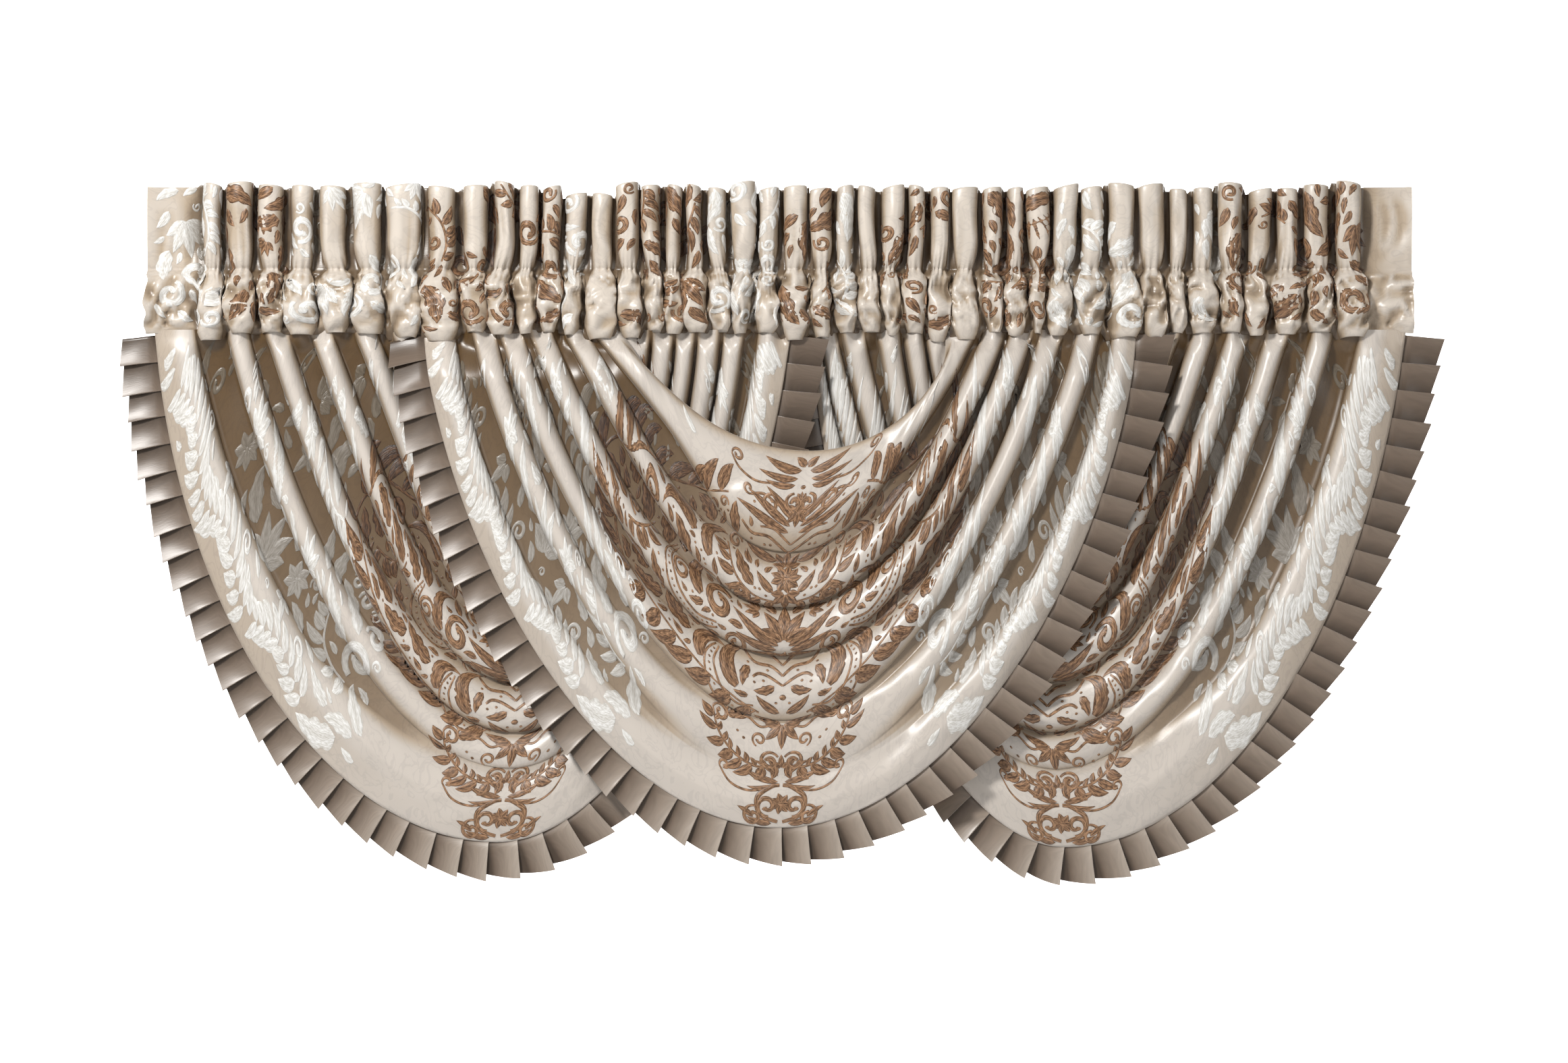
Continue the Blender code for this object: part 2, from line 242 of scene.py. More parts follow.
def fold_line(row, across):
    """Where a fold line runs, x and z, from its left seam over its lowest place to its right seam."""
    line = dict(zip(COLUMNS, row))
    low_x = real_x(line["low_x"])
    low_z = -(line["low_y"] - TOP_Y) * UNIT
    depth = low_z - BODY_TOP_Z
    t = 1.0 - np.abs(across)
    weights = ((1 - t) ** 3, 3 * t * (1 - t) ** 2, 3 * t * t * (1 - t), t ** 3)
    halves = []
    for side, sign in (("left", 1.0), ("right", -1.0)):
        tag = side[0]
        start = real_x(line[side])
        first = start - sign * line["lean_" + tag] * depth
        second = low_x - line["flat_" + tag] * (low_x - start)
        knee = BODY_TOP_Z + line["drop_" + tag] * depth
        halves.append([
            sum(weight * place for weight, place in zip(weights, places))
            for places in ((start, first, second, low_x), (BODY_TOP_Z, knee, low_z, low_z))
        ])
    return [np.where(across < 0, left, right) for left, right in zip(*halves)]


def fold_depth(row, across, z):
    """How far back a fold line lies, from the seam through its arm to its lowest place."""
    level = dict(zip(DEPTHS, row))
    seam = np.where(across < 0, level["seam_l"], level["seam_r"])
    arm = np.where(across < 0, level["arm_l"], level["arm_r"])
    y = seam + (arm - seam) * smooth((BODY_TOP_Z - z) / SETTLE)
    t = 1.0 - np.abs(across)
    return y + (level["low"] - y) * smooth((t - 0.4) / 0.5)


def valleys_between(ruffles):
    """The valleys halfway between one gather and the next."""
    return [0.5 * (a + b) for a, b in zip(ruffles[:-1], ruffles[1:])]


def ruffle_wave(name, x):
    """How far forward the gathers are at each place along the rod: 1 on a crest, -1 in a valley."""
    heading = HEADING_OF[name]
    ruffles = heading.ruffles
    spots = [heading.start] + sorted(list(ruffles) + valleys_between(ruffles)) + [heading.end]
    levels = np.array([0.0] + [1.0, -1.0] * (len(ruffles) - 1) + [1.0, 0.0])
    at = np.interp(picture_x(x), spots, np.arange(len(spots)))
    low = np.floor(at).astype(int).clip(0, len(spots) - 2)
    part = smooth(at - low)
    return levels[low] * (1 - part) + levels[low + 1] * part


def level_way(start, end, least=0.5):
    """The direction from one row of points to another as seen from the front, and how far it is.

    Nothing counts as nearer than least, so the direction stays defined where the rows meet.
    """
    way = end - start
    way[1] = 0.0
    gap = np.maximum(np.hypot(way[0], way[2]), least)
    return way / gap, gap


def hem_rows(curves, hang):
    """The turned-in hem, from its hidden edge to the hem's fold."""
    inward = level_way(curves[0], curves[1])[0]
    rows = []
    for inside, back in HEM_TURN:
        row = curves[0] + inward * inside
        row[1] = curves[0][1] + back
        rows.append(row)
    # the turned hem gets a mid painted shade, lighter in the low middle
    return rows, [0.70 + 0.15 * hang] * len(rows)


def fold_cut(step, share, rising, hang):
    """At a step from crest to valley: how far out and down the cloth is, and how much its nose sags.

    The tube at the crest takes its share of the way and the floor takes the rest. The arms have
    a round tube, and the low part of a swag, where hang is 1, a scoop that leans over.
    """
    q = min(step / TUBE_PART, 1.0)
    floor = max(step - TUBE_PART, 0.0) / (1.0 - TUBE_PART)
    angle = q * math.pi / 2
    arm_out = share * math.sin(angle)
    arm_down = 1 - math.cos(angle)
    if rising:
        low_down = 0.5 * (1 - math.cos(2 * angle))
        low_out = share * low_down
        sag = math.sin(2 * angle) * (1 - floor)
    else:
        low_down = 1 - math.cos(angle) ** 1.4
        low_out = share * (0.45 * q + 0.55 * math.sin(angle))
        sag = 0.0
    out = arm_out * (1 - hang) + low_out * hang + (1 - share) * floor
    return out, arm_down * (1 - hang) + low_down * hang, sag


def fold_rows(curves, index, nose, hang):
    """The cloth from one fold line up to the next, and each point's painted shade, darkest in the valleys.
    """
    rising = index % 2 == 0
    crest, valley = curves[index], curves[index + 1]
    if rising:
        crest, valley = valley, crest
    run, gap = level_way(crest, valley)
    half = TUBE_HALF + (0.88 * gap - TUBE_HALF) * hang
    share = np.clip(half / gap, 0.4, 0.9)
    drop = valley[1] - crest[1]
    tube = np.linspace(0.0, TUBE_PART, TUBE_ROWS + 1)
    steps = np.concatenate((tube, np.linspace(TUBE_PART, 1.0, FLOOR_ROWS + 1)[1:]))
    rows, painted_fold_shade = [], []
    for step in steps[::-1][:-1] if rising else steps[:-1]:
        if index == 0:
            out, down, sag = step, step ** 1.8, 0.0
        elif index == len(curves) - 2:
            out, down, sag = math.sin(step * math.pi / 2), 1 - math.cos(step * math.pi / 2), 0.0
        else:
            out, down, sag = fold_cut(step, share, rising, hang)
        row = crest + run * (out * gap + nose * hang * sag)
        row[1] = crest[1] + drop * down
        rows.append(row)
        # painted shade: the lowest fold is the plain band over the hem, with a mid shade that darkens away
        # from its crest; elsewhere the cloth is painted darkest in deep valleys, most under a crest and high
        # in the arms
        painted_light_share = np.clip((valley[1] - row[1]) / np.maximum(drop, 1.0), 0, 1) ** (1.5 if rising else 0.8)
        deep = np.clip((drop - 2.0) / 9.0, 0.0, 1.0) * (1.0 - 0.25 * hang)
        deep = deep * (1.0 - 0.30 * smooth((BODY_TOP_Z - row[2]) / 380.0))
        band = 0.86 - 0.17 * smooth(2.0 * step) * (1.0 - 0.8 * hang)
        painted_fold_shade.append(band if index == 0 else 1.0 - (1.0 - painted_light_share) * deep)
    return rows, painted_fold_shade


def neck_rows(curves):
    """The rolled neck edge and the strip turned in behind it. Near the seam the edge opens sideways."""
    edge = curves[-1].copy()
    inward = level_way(edge, curves[-2], 1.0)[0]
    edge[0] -= np.sign(inward[0]) * NECK_OPENS * (1.0 - smooth((BODY_TOP_Z - edge[2]) / NECK_OPENS_OVER))
    rows = []
    for turn in (0.0, 0.25, 0.5, 0.75, 1.0):
        row = edge + inward * NECK_ROLL * (1 - math.cos(turn * math.pi))
        row[1] = edge[1] + NECK_ROLL * math.sin(turn * math.pi) + 1.2 * turn
        rows.append(row)
    # painted shade: mid on the rolled edge, dark on the strip turned in behind it
    painted_fold_shade = [np.full(ALONG, 0.72)] * len(rows) + [np.full(ALONG, 0.2)]
    row = edge + inward * 11.0
    row[1] = edge[1] + 2.0
    return rows + [row], painted_fold_shade


def meet_headings(grid, across, head_l, head_r):
    """Brings the top of a body to the depth at which it is sewn behind its headings' gathers."""
    side = across[None, :] < 0
    wave = np.where(side, ruffle_wave(head_l, grid[:, :, 0]), ruffle_wave(head_r, grid[:, :, 0]))
    seam = np.where(side, HEADING_OF[head_l].seam, HEADING_OF[head_r].seam)
    near = 1.0 - smooth((BODY_TOP_Z - grid[:, :, 2]) / 26.0)
    grid[:, :, 1] = grid[:, :, 1] * (1 - near) + (seam - 6.5 * wave) * near


def ripple_body(grid, painted_fold_shade, flat_x, flat_y, hang, seed):
    """Soft ripples over the whole cloth, puckers under the seam, and the dents."""
    drop = BODY_TOP_Z - grid[:, :, 2]
    grid[:, :, 2] += 2.4 * (1.0 - smooth(drop / 9.0))
    ripple = 1.2 * noise(flat_x / 66.0, flat_y / 27.0, seed)
    ripple = ripple + 0.5 * noise(flat_x / 26.0, flat_y / 11.0, seed + 1)
    ripple = ripple * (1.0 + 0.9 * hang[None, :]) * smooth(drop / 40.0)
    pucker = 1.2 * noise(flat_x / 9.0, flat_y / 26.0, seed + 2) * (0.3 + 0.7 * painted_fold_shade)
    pucker = pucker * (1.0 - smooth((drop - 4.0) / 34.0)) * smooth(drop / 3.0)
    grid[:, :, 1] += ripple + pucker
    across = picture_x(grid[:, :, 0])
    down = TOP_Y - grid[:, :, 2] / UNIT
    for x, y, size, depth in DENTS:
        away = ((across - x) / (1.6 * size)) ** 2 + ((down - y) / size) ** 2
        grid[:, :, 1] += depth * np.exp(-away)


def body_grid(lines, depths, head_l, head_r, seed):
    """The whole cloth of one swag as rows of points from its turned hem to its rolled neck edge."""
    across = np.linspace(-1.0, 1.0, ALONG)
    # 0 in the arms and 1 in the low middle of the swag
    hang = smooth((1.0 - np.abs(across) - 0.35) / 0.5)
    curves = []
    for line, depth in zip(lines, depths):
        x, z = fold_line(line, across)
        curves.append(np.array((x, fold_depth(depth, across, z), z)))
    stretches = [hem_rows(curves, hang)]
    for index in range(len(curves) - 1):
        nose = dict(zip(DEPTHS, depths[index + 1]))["nose"]
        stretches.append(fold_rows(curves, index, nose, hang))
    stretches.append(neck_rows(curves))
    grid = np.array([row for rows, painted_fold_shade in stretches for row in rows]).transpose(0, 2, 1)
    painted_fold_shade = np.array([fold for rows, painted_fold_shade in stretches for fold in painted_fold_shade])
    meet_headings(grid, across, head_l, head_r)
    flat_x, flat_y = cloth_places(grid)
    flat_x = flat_x - flat_x[:, ALONG // 2][:, None]
    ripple_body(grid, painted_fold_shade, flat_x, flat_y, hang, seed)
    return grid, painted_fold_shade, flat_x, flat_y


def cloth_places(grid):
    """Where each point lies on the flat cloth: along its row from the left, and up from the first row."""
    along = np.linalg.norm(np.diff(grid, axis=1), axis=2)
    flat_x = np.concatenate((np.zeros((len(grid), 1)), np.cumsum(along, axis=1)), axis=1)
    up = np.linalg.norm(np.diff(grid, axis=0), axis=2)
    flat_y = np.concatenate((np.zeros((1, grid.shape[1])), np.cumsum(up, axis=0)), axis=0)
    return flat_x, flat_y


def quads_between(index):
    """The four-sided faces of a grid of point numbers."""
    return np.stack((index[:-1, :-1], index[:-1, 1:], index[1:, 1:], index[1:, :-1]), axis=-1).reshape(-1, 4)


def mesh_piece(name, points, quads, layers, material):
    """A piece of the scene from points in millimetres and faces, with named numbers kept at its points."""
    mesh = bpy.data.meshes.new(name)
    mesh.vertices.add(len(points))
    mesh.vertices.foreach_set("co", (points * 0.001).ravel())
    mesh.loops.add(quads.size)
    mesh.loops.foreach_set("vertex_index", quads.ravel())
    mesh.polygons.add(len(quads))
    mesh.polygons.foreach_set("loop_start", np.arange(0, quads.size, 4))
    mesh.polygons.foreach_set("loop_total", np.full(len(quads), 4))
    mesh.polygons.foreach_set("use_smooth", np.ones(len(quads), bool))
    mesh.update(calc_edges=True)
    for key, values in layers.items():
        layer = mesh.attributes.new(key, "FLOAT", "POINT")
        layer.data.foreach_set("value", np.asarray(values, np.float32).ravel())
    mesh.materials.append(material)
    thing = bpy.data.objects.new(name, mesh)
    bpy.context.scene.collection.objects.link(thing)
    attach(thing, "root")
    return thing


def grid_mesh(name, grid, layers, material, front=True):
    """A grid of points as a sheet. front is False where its faces would otherwise look backwards."""
    rows, columns = grid.shape[:2]
    quads = quads_between(np.arange(rows * columns).reshape(rows, columns))
    if not front:
        quads = quads[:, ::-1]
    return mesh_piece(name, grid.reshape(-1, 3), quads, layers, material)


def rounded(keys, steps):
    """A smooth curve through rows of numbers, with steps points between two rows."""
    keys = np.array(keys, float)
    out = []
    for i in range(len(keys) - 1):
        a = keys[max(i - 1, 0)]
        b, c = keys[i], keys[i + 1]
        d = keys[min(i + 2, len(keys) - 1)]
        for k in range(steps):
            t = k / steps
            bend = (2 * a - 5 * b + 4 * c - d) * t * t + (3 * b - 3 * c + d - a) * t ** 3
            out.append(0.5 * (2 * b + (c - a) * t + bend))
    out.append(keys[-1])
    return np.array(out)


def lengths(points):
    """How far along a row of flat points each of them lies."""
    return np.concatenate(([0.0], np.cumsum(np.hypot(*np.diff(points, axis=0).T))))


def normals(points):
    """The direction across a row of flat points, at each of them."""
    tangent = np.gradient(points, axis=0)
    tangent = tangent / np.maximum(np.linalg.norm(tangent, axis=1), 1e-6)[:, None]
    return np.stack((-tangent[:, 1], tangent[:, 0]), axis=1)


def stroke(points, half, vein=0.0):
    """A row of points on the flat cloth, half its width at each, and 1 for a vein. Figures list strokes."""
    return (np.asarray(points, float), np.asarray(half, float), vein)


def leaf(x, y, length, width, angle, bend=0.0, lobes=0):
    """A pointed leaf from x, y along angle. It turns by bend, and its sides are cut into lobes."""
    count = max(9, int(length / 3.2))
    t = np.linspace(0.0, 1.0, count)
    turn = math.radians(angle) + math.radians(bend) * (t - 0.3)
    step = length / (count - 1)
    px = x + np.concatenate(([0.0], np.cumsum(np.cos(turn[:-1]) * step)))
    py = y + np.concatenate(([0.0], np.cumsum(np.sin(turn[:-1]) * step)))
    half = 0.5 * width * np.sin(math.pi * t ** 0.75) ** 0.85
    if lobes:
        half = half * (0.72 + 0.34 * np.abs(np.sin(math.pi * lobes * t)))
    return [stroke(np.stack((px, py), 1), half + 0.15, 1.0 if width > VEIN_FROM else 0.0)]


def scroll(x, y, radius, turns, width, angle, hand):
    """A tapering spiral that starts at x, y, heads along angle and curls to a round end."""
    count = int(10 + 13 * turns)
    t = np.linspace(0.0, 1.0, count)
    around = 2 * math.pi * turns * t
    size = radius * (1.0 - 0.74 * t)
    start = math.radians(angle) - hand * math.pi / 2
    cx = x - radius * math.cos(start)
    cy = y - radius * math.sin(start)
    px = cx + size * np.cos(start + hand * around)
    py = cy + size * np.sin(start + hand * around)
    half = 0.5 * width * (0.35 + 0.65 * np.sin(math.pi * np.clip(t * 0.8 + 0.1, 0, 1)))
    half[-3:] = (0.5 * width, 0.62 * width, 0.25 * width)
    return [stroke(np.stack((px, py), 1), half)]


def stem(points, width):
    """A curved line through points, thin at its ends."""
    line = rounded(points, 6)
    t = np.linspace(0.0, 1.0, len(line))
    return [stroke(line, 0.5 * width * (0.45 + 0.55 * np.sin(math.pi * (0.15 + 0.7 * t))))]


def dot(x, y, size):
    t = np.linspace(-1.0, 1.0, 6)
    points = np.stack((x + size * t, np.full(len(t), float(y))), 1)
    return [stroke(points, 0.85 * size * np.sqrt(np.clip(1.05 - t * t, 0.02, 1)))]


def fan(x, y, length, width, angle, spread, count):
    """Leaves that spread out from one place, the middle one longest."""
    out = []
    for k in range(count):
        part = 2.0 * k / (count - 1) - 1.0
        size = length * (1.0 - 0.38 * part * part)
        way = angle + part * spread
        base = math.radians(way)
        out += leaf(x + 3 * math.cos(base), y + 3 * math.sin(base), size, width, way, 34 * part)
    return out


def flower(x, y, size, petals):
    """Petals round one place, with a round middle."""
    out = []
    for k in range(petals):
        out += leaf(x, y, size, size * 0.62, 360.0 * k / petals, 16)
    return out + dot(x, y, size * 0.16)


def mirrored(figures):
    """Figures and their mirror images on the other side of the middle."""
    return figures + [(points * (-1.0, 1.0), half, vein) for points, half, vein in figures]


def moved(figures, x, y, turn=0.0, flip=1.0):
    """Figures mirrored by flip, turned by degrees and then moved by x, y."""
    c, s = math.cos(math.radians(turn)), math.sin(math.radians(turn))
    out = []
    for points, half, vein in figures:
        px, py = points[:, 0] * flip, points[:, 1]
        out.append((np.stack((x + c * px - s * py, y + s * px + c * py), 1), half, vein))
    return out


def acanthus(points, length, width, every, side, fade=0.55, spine=2.8, lean=62):
    """A spine with uneven curved leaves along one side, longest in the middle."""
    line = rounded(points, 7)
    run = lengths(line)
    out = stem(points, spine) if spine else []
    for place in np.arange(every * 0.4, run[-1] - 1.0, every):
        x, y = (np.interp(place, run, line[:, k]) for k in (0, 1))
        ahead_x, ahead_y = (np.interp(place + 3.0, run, line[:, k]) for k in (0, 1))
        angle = math.degrees(math.atan2(ahead_y - y, ahead_x - x))
        size = length * (fade + (1 - fade) * math.sin(math.pi * place / run[-1]))
        size = size * (1.0 + 0.17 * math.sin(2.2 * place))
        wide = width * (1.0 + 0.12 * math.sin(3.1 * place))
        turned = (lean + 11.0 * math.sin(1.3 * place)) * side
        out += leaf(x, y, size, wide, angle + turned, -50 * side)
    return out


def beaded(points, width):
    """Two rails with dots between them."""
    line = rounded(points, 6)
    normal = normals(line)
    t = np.linspace(0.0, 1.0, len(line))
    grow = np.sin(math.pi * (0.12 + 0.8 * t))[:, None]
    thin = 0.9 + 0.9 * grow[:, 0]
    out = [stroke(line + side * 0.5 * normal * width * grow, thin) for side in (1.0, -1.0)]
    run = lengths(line)
    for place in np.arange(7.0, run[-1] - 5.0, 7.5):
        out += dot(np.interp(place, run, line[:, 0]), np.interp(place, run, line[:, 1]), 1.7)
    return out


def comma(x, y, size, angle, hand):
    """A round drop whose tail curls away."""
    t = np.linspace(0.0, 1.0, 12)
    turn = math.radians(angle) + hand * 2.6 * t
    step = size / 7.0
    px = x + np.cumsum(np.cos(turn) * step)
    py = y + np.cumsum(np.sin(turn) * step)
    half = 0.30 * size * np.sin(math.pi * np.clip(t * 0.96 + 0.04, 0, 1)) ** 0.6 * (1.15 - t) + 0.2
    return [stroke(np.stack((px, py), 1), half, 1.0)]


class Field:
    """Which square millimetres of the flat cloth are taken by figures, or lie outside them."""

    def __init__(self, low_x, low_y, wide, high, inside):
        self.low_x, self.low_y = low_x, low_y
        x, y = np.meshgrid(low_x + np.arange(wide), low_y + np.arange(high), indexing="ij")
        self.taken = ~inside(x.astype(float), y.astype(float))

    def cells(self, points, half, grow):
        """The squares under a stroke made wider by grow, and which of them the field has."""
        run = lengths(points)
        place = np.arange(0.0, run[-1] + 0.8, 0.8)
        px, py = np.interp(place, run, points[:, 0]), np.interp(place, run, points[:, 1])
        tx, ty = np.gradient(px), np.gradient(py)
        size = np.maximum(np.hypot(tx, ty), 1e-6)
        reach = np.interp(place, run, half) + grow
        across = np.linspace(-1.0, 1.0, 2 * int(reach.max() / 0.9) + 3)
        x = px[:, None] - (ty / size * reach)[:, None] * across
        y = py[:, None] + (tx / size * reach)[:, None] * across
        x = np.round(x - self.low_x).astype(int).ravel()
        y = np.round(y - self.low_y).astype(int).ravel()
        fits = (x >= 0) & (y >= 0) & (x < self.taken.shape[0]) & (y < self.taken.shape[1])
        return x, y, fits

    def free(self, figures):
        """Whether figures fit. Their middle lines are looked at first, because most tries fail there."""
        wide, high = self.taken.shape
        for points, half, vein in figures:
            x = np.round(points[:, 0] - self.low_x).astype(int)
            y = np.round(points[:, 1] - self.low_y).astype(int)
            if x.min() < 0 or y.min() < 0 or x.max() >= wide or y.max() >= high or self.taken[x, y].any():
                return False
        for points, half, vein in figures:
            x, y, fits = self.cells(points, half, 0.0)
            if not fits.all() or self.taken[x, y].any():
                return False
        return True

    def cover(self, figures, gap):
        """Takes what the figures cover, and a gap round them."""
        for points, half, vein in figures:
            x, y, fits = self.cells(points, half, gap)
            self.taken[x[fits], y[fits]] = True


def filled(field, seed, sizes, flow, gap):
    """Leaves, sprays, curls and dots in what is free of a field, the largest first, none touching another.

    sizes says how often to try each size, and flow gives the direction at a place.
    """
    rng = np.random.RandomState(seed)
    out = []
    for size, tries in sizes:
        spots = np.argwhere(~field.taken)
        for _ in range(tries):
            if not len(spots):
                break
            at = spots[rng.randint(len(spots))]
            x, y = float(at[0] + field.low_x), float(at[1] + field.low_y)
            angle = flow(x, y) + rng.uniform(-34, 34)
            hand = rng.choice((-1, 1))
            kind = rng.randint(9)
            long = size * rng.uniform(0.85, 1.15)
            if size < 6:
                new = dot(x, y, size * 0.42)
            elif kind < 2:
                new = leaf(x, y, long, long * 0.42, angle, 46 * hand, 3)
            elif kind < 4:
                new = comma(x, y, long, angle, hand)
            elif kind == 4 and size > 14:
                new = scroll(x, y, long * 0.34, 1.2, long * 0.19, angle, hand)
            elif kind == 5 and size > 22:
                new = fan(x, y, long * 0.8, long * 0.26, angle, 52, 5)
            elif size > 30:
                spine = long * np.array(((0.0, 0.0), (0.36, 0.06), (0.72, 0.26), (0.94, 0.62)))
                spray = acanthus(spine, long * 0.44, long * 0.20, long * 0.22, -1, 0.7, 3.4)
                new = moved(spray, x, y, angle, hand)
            else:
                new = leaf(x, y, long, long * 0.44, angle, -40 * hand)
            if field.free(new):
                field.cover(new, gap)
                out += new
    return out


def fleur():
    """The upright figure over the hem, from the lowest flower up to its crown."""
    half = []
    half += stem(((3, 4), (24, 12), (28, 32), (12, 46), (2, 48)), 6.0)
    half += scroll(14, 10, 13, 1.2, 6.0, -10, 1) + scroll(30, 22, 13, 1.1, 5.0, 10, -1)
    half += leaf(10, 2, 30, 8, 6, 30) + leaf(32, 8, 22, 7, 30, -30)
    half += leaf(4, 52, 44, 8, 10, 22) + leaf(4, 59, 34, 7, 34, -40) + leaf(8, 48, 34, 6, -14, 36)
    half += stem(((14, 44), (40, 38), (62, 42), (76, 56)), 3.0) + scroll(76, 56, 7, 0.9, 4.2, 70, 1)
    spine = ((4, 74), (28, 68), (56, 76), (78, 94), (88, 118))
    half += acanthus(spine, 27, 11.5, 13.5, -1, 0.7, 3.6) + acanthus(spine, 15, 6.5, 11.5, 1, 0.7, 0)
    half += scroll(4, 82, 12, 1.4, 5.0, 60, -1) + scroll(88, 118, 11, 1.2, 5.0, 100, 1)
    half += stem(((10, 122), (26, 116), (42, 124), (58, 118)), 3.4) + scroll(58, 118, 8, 1.0, 4.0, -40, 1)
    half += scroll(30, 92, 9, 1.2, 3.6, 20, 1) + dot(46, 98, 2.0) + dot(54, 104, 1.8)
    middle = fan(0, 124, 30, 11, -90, 78, 5) + fan(0, 66, 16, 7, 90, 40, 3)
    middle += flower(0, 26, 13, 7) + dot(0, 26, 4)
    return mirrored(half) + middle


def ogee(share, first=0.03, last=0.97, count=9):
    """The outline of the large figure, from its foot to its top, drawn in by share."""
    t = np.linspace(first, last, count)
    x = 296.0 * np.sin(math.pi * t) ** 0.9 * share
    return np.stack((x + 4.0, 160.0 + 318.0 * (t - 0.5) * (0.34 + 0.66 * share)), 1)


def medallion():
    """The large pointed figure: a column of flowers and chevrons, beaded curls and a leafy outline."""
    half = acanthus(ogee(1.0, 0.02, 0.92, 10), 48, 18, 28.0, -1, 0.85, 4.0, 50)
    half += beaded(((34, 12), (58, 4), (84, 18), (94, 46), (82, 70)), 17)
    half += comma(50, 30, 46, 24, 1)
    half += comma(104, 38, 40, 60, 1) + scroll(64, 84, 15, 1.4, 6.0, 30, 1)
    half += stem(((0, 56), (14, 68), (34, 70), (48, 84)), 4.4)
    half += stem(((0, 44), (16, 54), (28, 56), (36, 50)), 4.0) + stem(((0, 70), (12, 82), (24, 84)), 3.6)
    half += leaf(4, 10, 34, 11, 30, 30) + leaf(6, -4, 30, 10, 8, 40)
    half += leaf(6, 110, 66, 14, 26, 12) + leaf(8, 104, 52, 12, 8, 14) + leaf(6, 98, 36, 10, -12, 20)
    half += beaded(((84, 108), (116, 100), (150, 116), (164, 146), (150, 172)), 15)
    half += comma(104, 128, 44, 30, 1)
    half += scroll(58, 158, 17, 1.5, 6.5, 10, 1) + scroll(128, 152, 15, 1.4, 6.0, 60, -1)
    half += acanthus(((12, 184), (40, 186), (66, 202), (76, 234)), 27, 11, 13, -1, 0.7, 3.4)
    half += leaf(14, 196, 30, 11, 40, 30) + leaf(12, 240, 44, 12, 10, 26) + comma(98, 196, 42, 40, 1)
    half += stem(((0, 252), (26, 268), (48, 264), (64, 272)), 4.0)
    half += stem(((0, 263), (22, 279), (40, 276)), 3.2)
    half += leaf(6, 278, 72, 12, 14, -14) + leaf(6, 286, 64, 11, 26, -18) + leaf(4, 294, 50, 10, 42, -24)
    middle = fan(0, 114, 46, 16, 90, 62, 5) + flower(0, 214, 19, 9) + fan(0, 198, 24, 10, -90, 74, 5)
    middle += fan(0, 228, 24, 10, 90, 66, 5) + fan(0, 300, 26, 9, 90, 50, 3)
    middle += flower(0, 92, 10, 5) + dot(0, 30, 4)
    # a stroke that would cross the middle line would cut its own mirror image
    half = [part for part in half if part[0][:, 0].min() > -1.0]

    def inside(x, y):
        rim = ogee(0.985, 0.0, 1.0, 40)
        reach = np.interp(y, rim[:, 1], rim[:, 0], left=0.0, right=0.0)
        return (x > 2.0) & (x < reach)

    def outward(x, y):
        return math.degrees(math.atan2(y - 150.0, x)) + 30.0

    field = Field(0, -6, 310, 340, inside)
    field.cover(half + middle, 1.6)
    sizes = ((54, 1200), (42, 2000), (31, 2600), (22, 2600), (14, 1800), (4.4, 200))
    half += filled(field, 31, sizes, outward, 1.4)
    return mirrored(half) + middle


def palmette():
    """The flower at the neck edge and the vase of scrolls under it."""
    half = leaf(5, 6, 46, 12, 2, 24) + leaf(5, 12, 42, 12, 20, 10) + leaf(5, 17, 30, 10, 42, -10)
    half += leaf(8, -4, 48, 9, -8, 18) + leaf(10, -12, 36, 8, -12, 30)
    half += stem(((34, -16), (58, -24), (80, -20), (92, -8)), 3.2) + scroll(92, -8, 8, 1.1, 4.2, 80, 1)
    half += scroll(9, -22, 11, 1.3, 5.5, -10, -1) + scroll(26, -32, 12, 1.2, 5.0, 40, -1)
    half += stem(((24, -40), (44, -34), (60, -42)), 3.6) + scroll(60, -42, 7, 1.0, 4.0, -40, 1)
    middle = fan(0, 8, 26, 10, 90, 40, 3) + flower(0, -30, 10, 6)
    middle += fan(0, -40, 20, 9, -90, 56, 5) + dot(0, -14, 3)
    return mirrored(half) + middle


def ivory_ground():
    """The ivory leaves and flowers beside the brown figures, with plain places between them."""
    half = []
    blooms = ((356, 122), (520, 116), (690, 118), (430, 246), (590, 220), (370, 392), (520, 360), (300, 470))
    for x, y in blooms:
        half += flower(x, y, 20, 7)
        half += fan(x, y + 26, 34, 13, 90, 60, 5) + fan(x, y - 24, 28, 12, -90, 50, 3)
    spray = ((286, 40), (350, 58), (420, 38), (490, 56), (560, 38), (630, 54), (700, 36), (752, 44))
    half += acanthus(spray, 31, 13, 15.0, 1, 0.9, 3.0, 50) + acanthus(spray, 31, 13, 15.0, -1, 0.9, 0, 50)
    curls = ((318, 66), (386, 26), (455, 66), (525, 24), (596, 66), (665, 24), (730, 66))
    for x, y in curls:
        hand = 1 if y > 45 else -1
        half += scroll(x, y, 10, 1.2, 5.0, 40 * hand, hand)

    def inside(x, y):
        rim = ogee(1.0, 0.0, 1.0, 40)
        reach = np.interp(y - 146.0, rim[:, 1], rim[:, 0], left=0.0, right=0.0)
        clear = (x > reach + 30.0) & ((x > 190.0) | (y > 480.0)) & (x > 120.0)
        outer_band = (y < 78.0) & (x > 250.0)
        return clear & ((noise(x / 74.0 + 3.0, y / 96.0 + 8.0, 77) > -0.42) | outer_band)

    def winding(x, y):
        return 30.0 + 60.0 * math.sin(x / 60.0) * math.cos(y / 70.0)

    field = Field(110, 6, 700, 530, inside)
    field.cover(half, 1.7)
    sizes = ((66, 2000), (50, 3000), (36, 3800), (25, 3400), (16, 1200))
    half += filled(field, 47, sizes, winding, 1.5)
    return mirrored(half)


def cell_of(value, count):
    """The whole part of each place in a row of count points, and the share beyond it."""
    whole = np.clip(np.floor(value).astype(int), 0, count - 2)
    return whole, np.clip(value - whole, 0, 1)


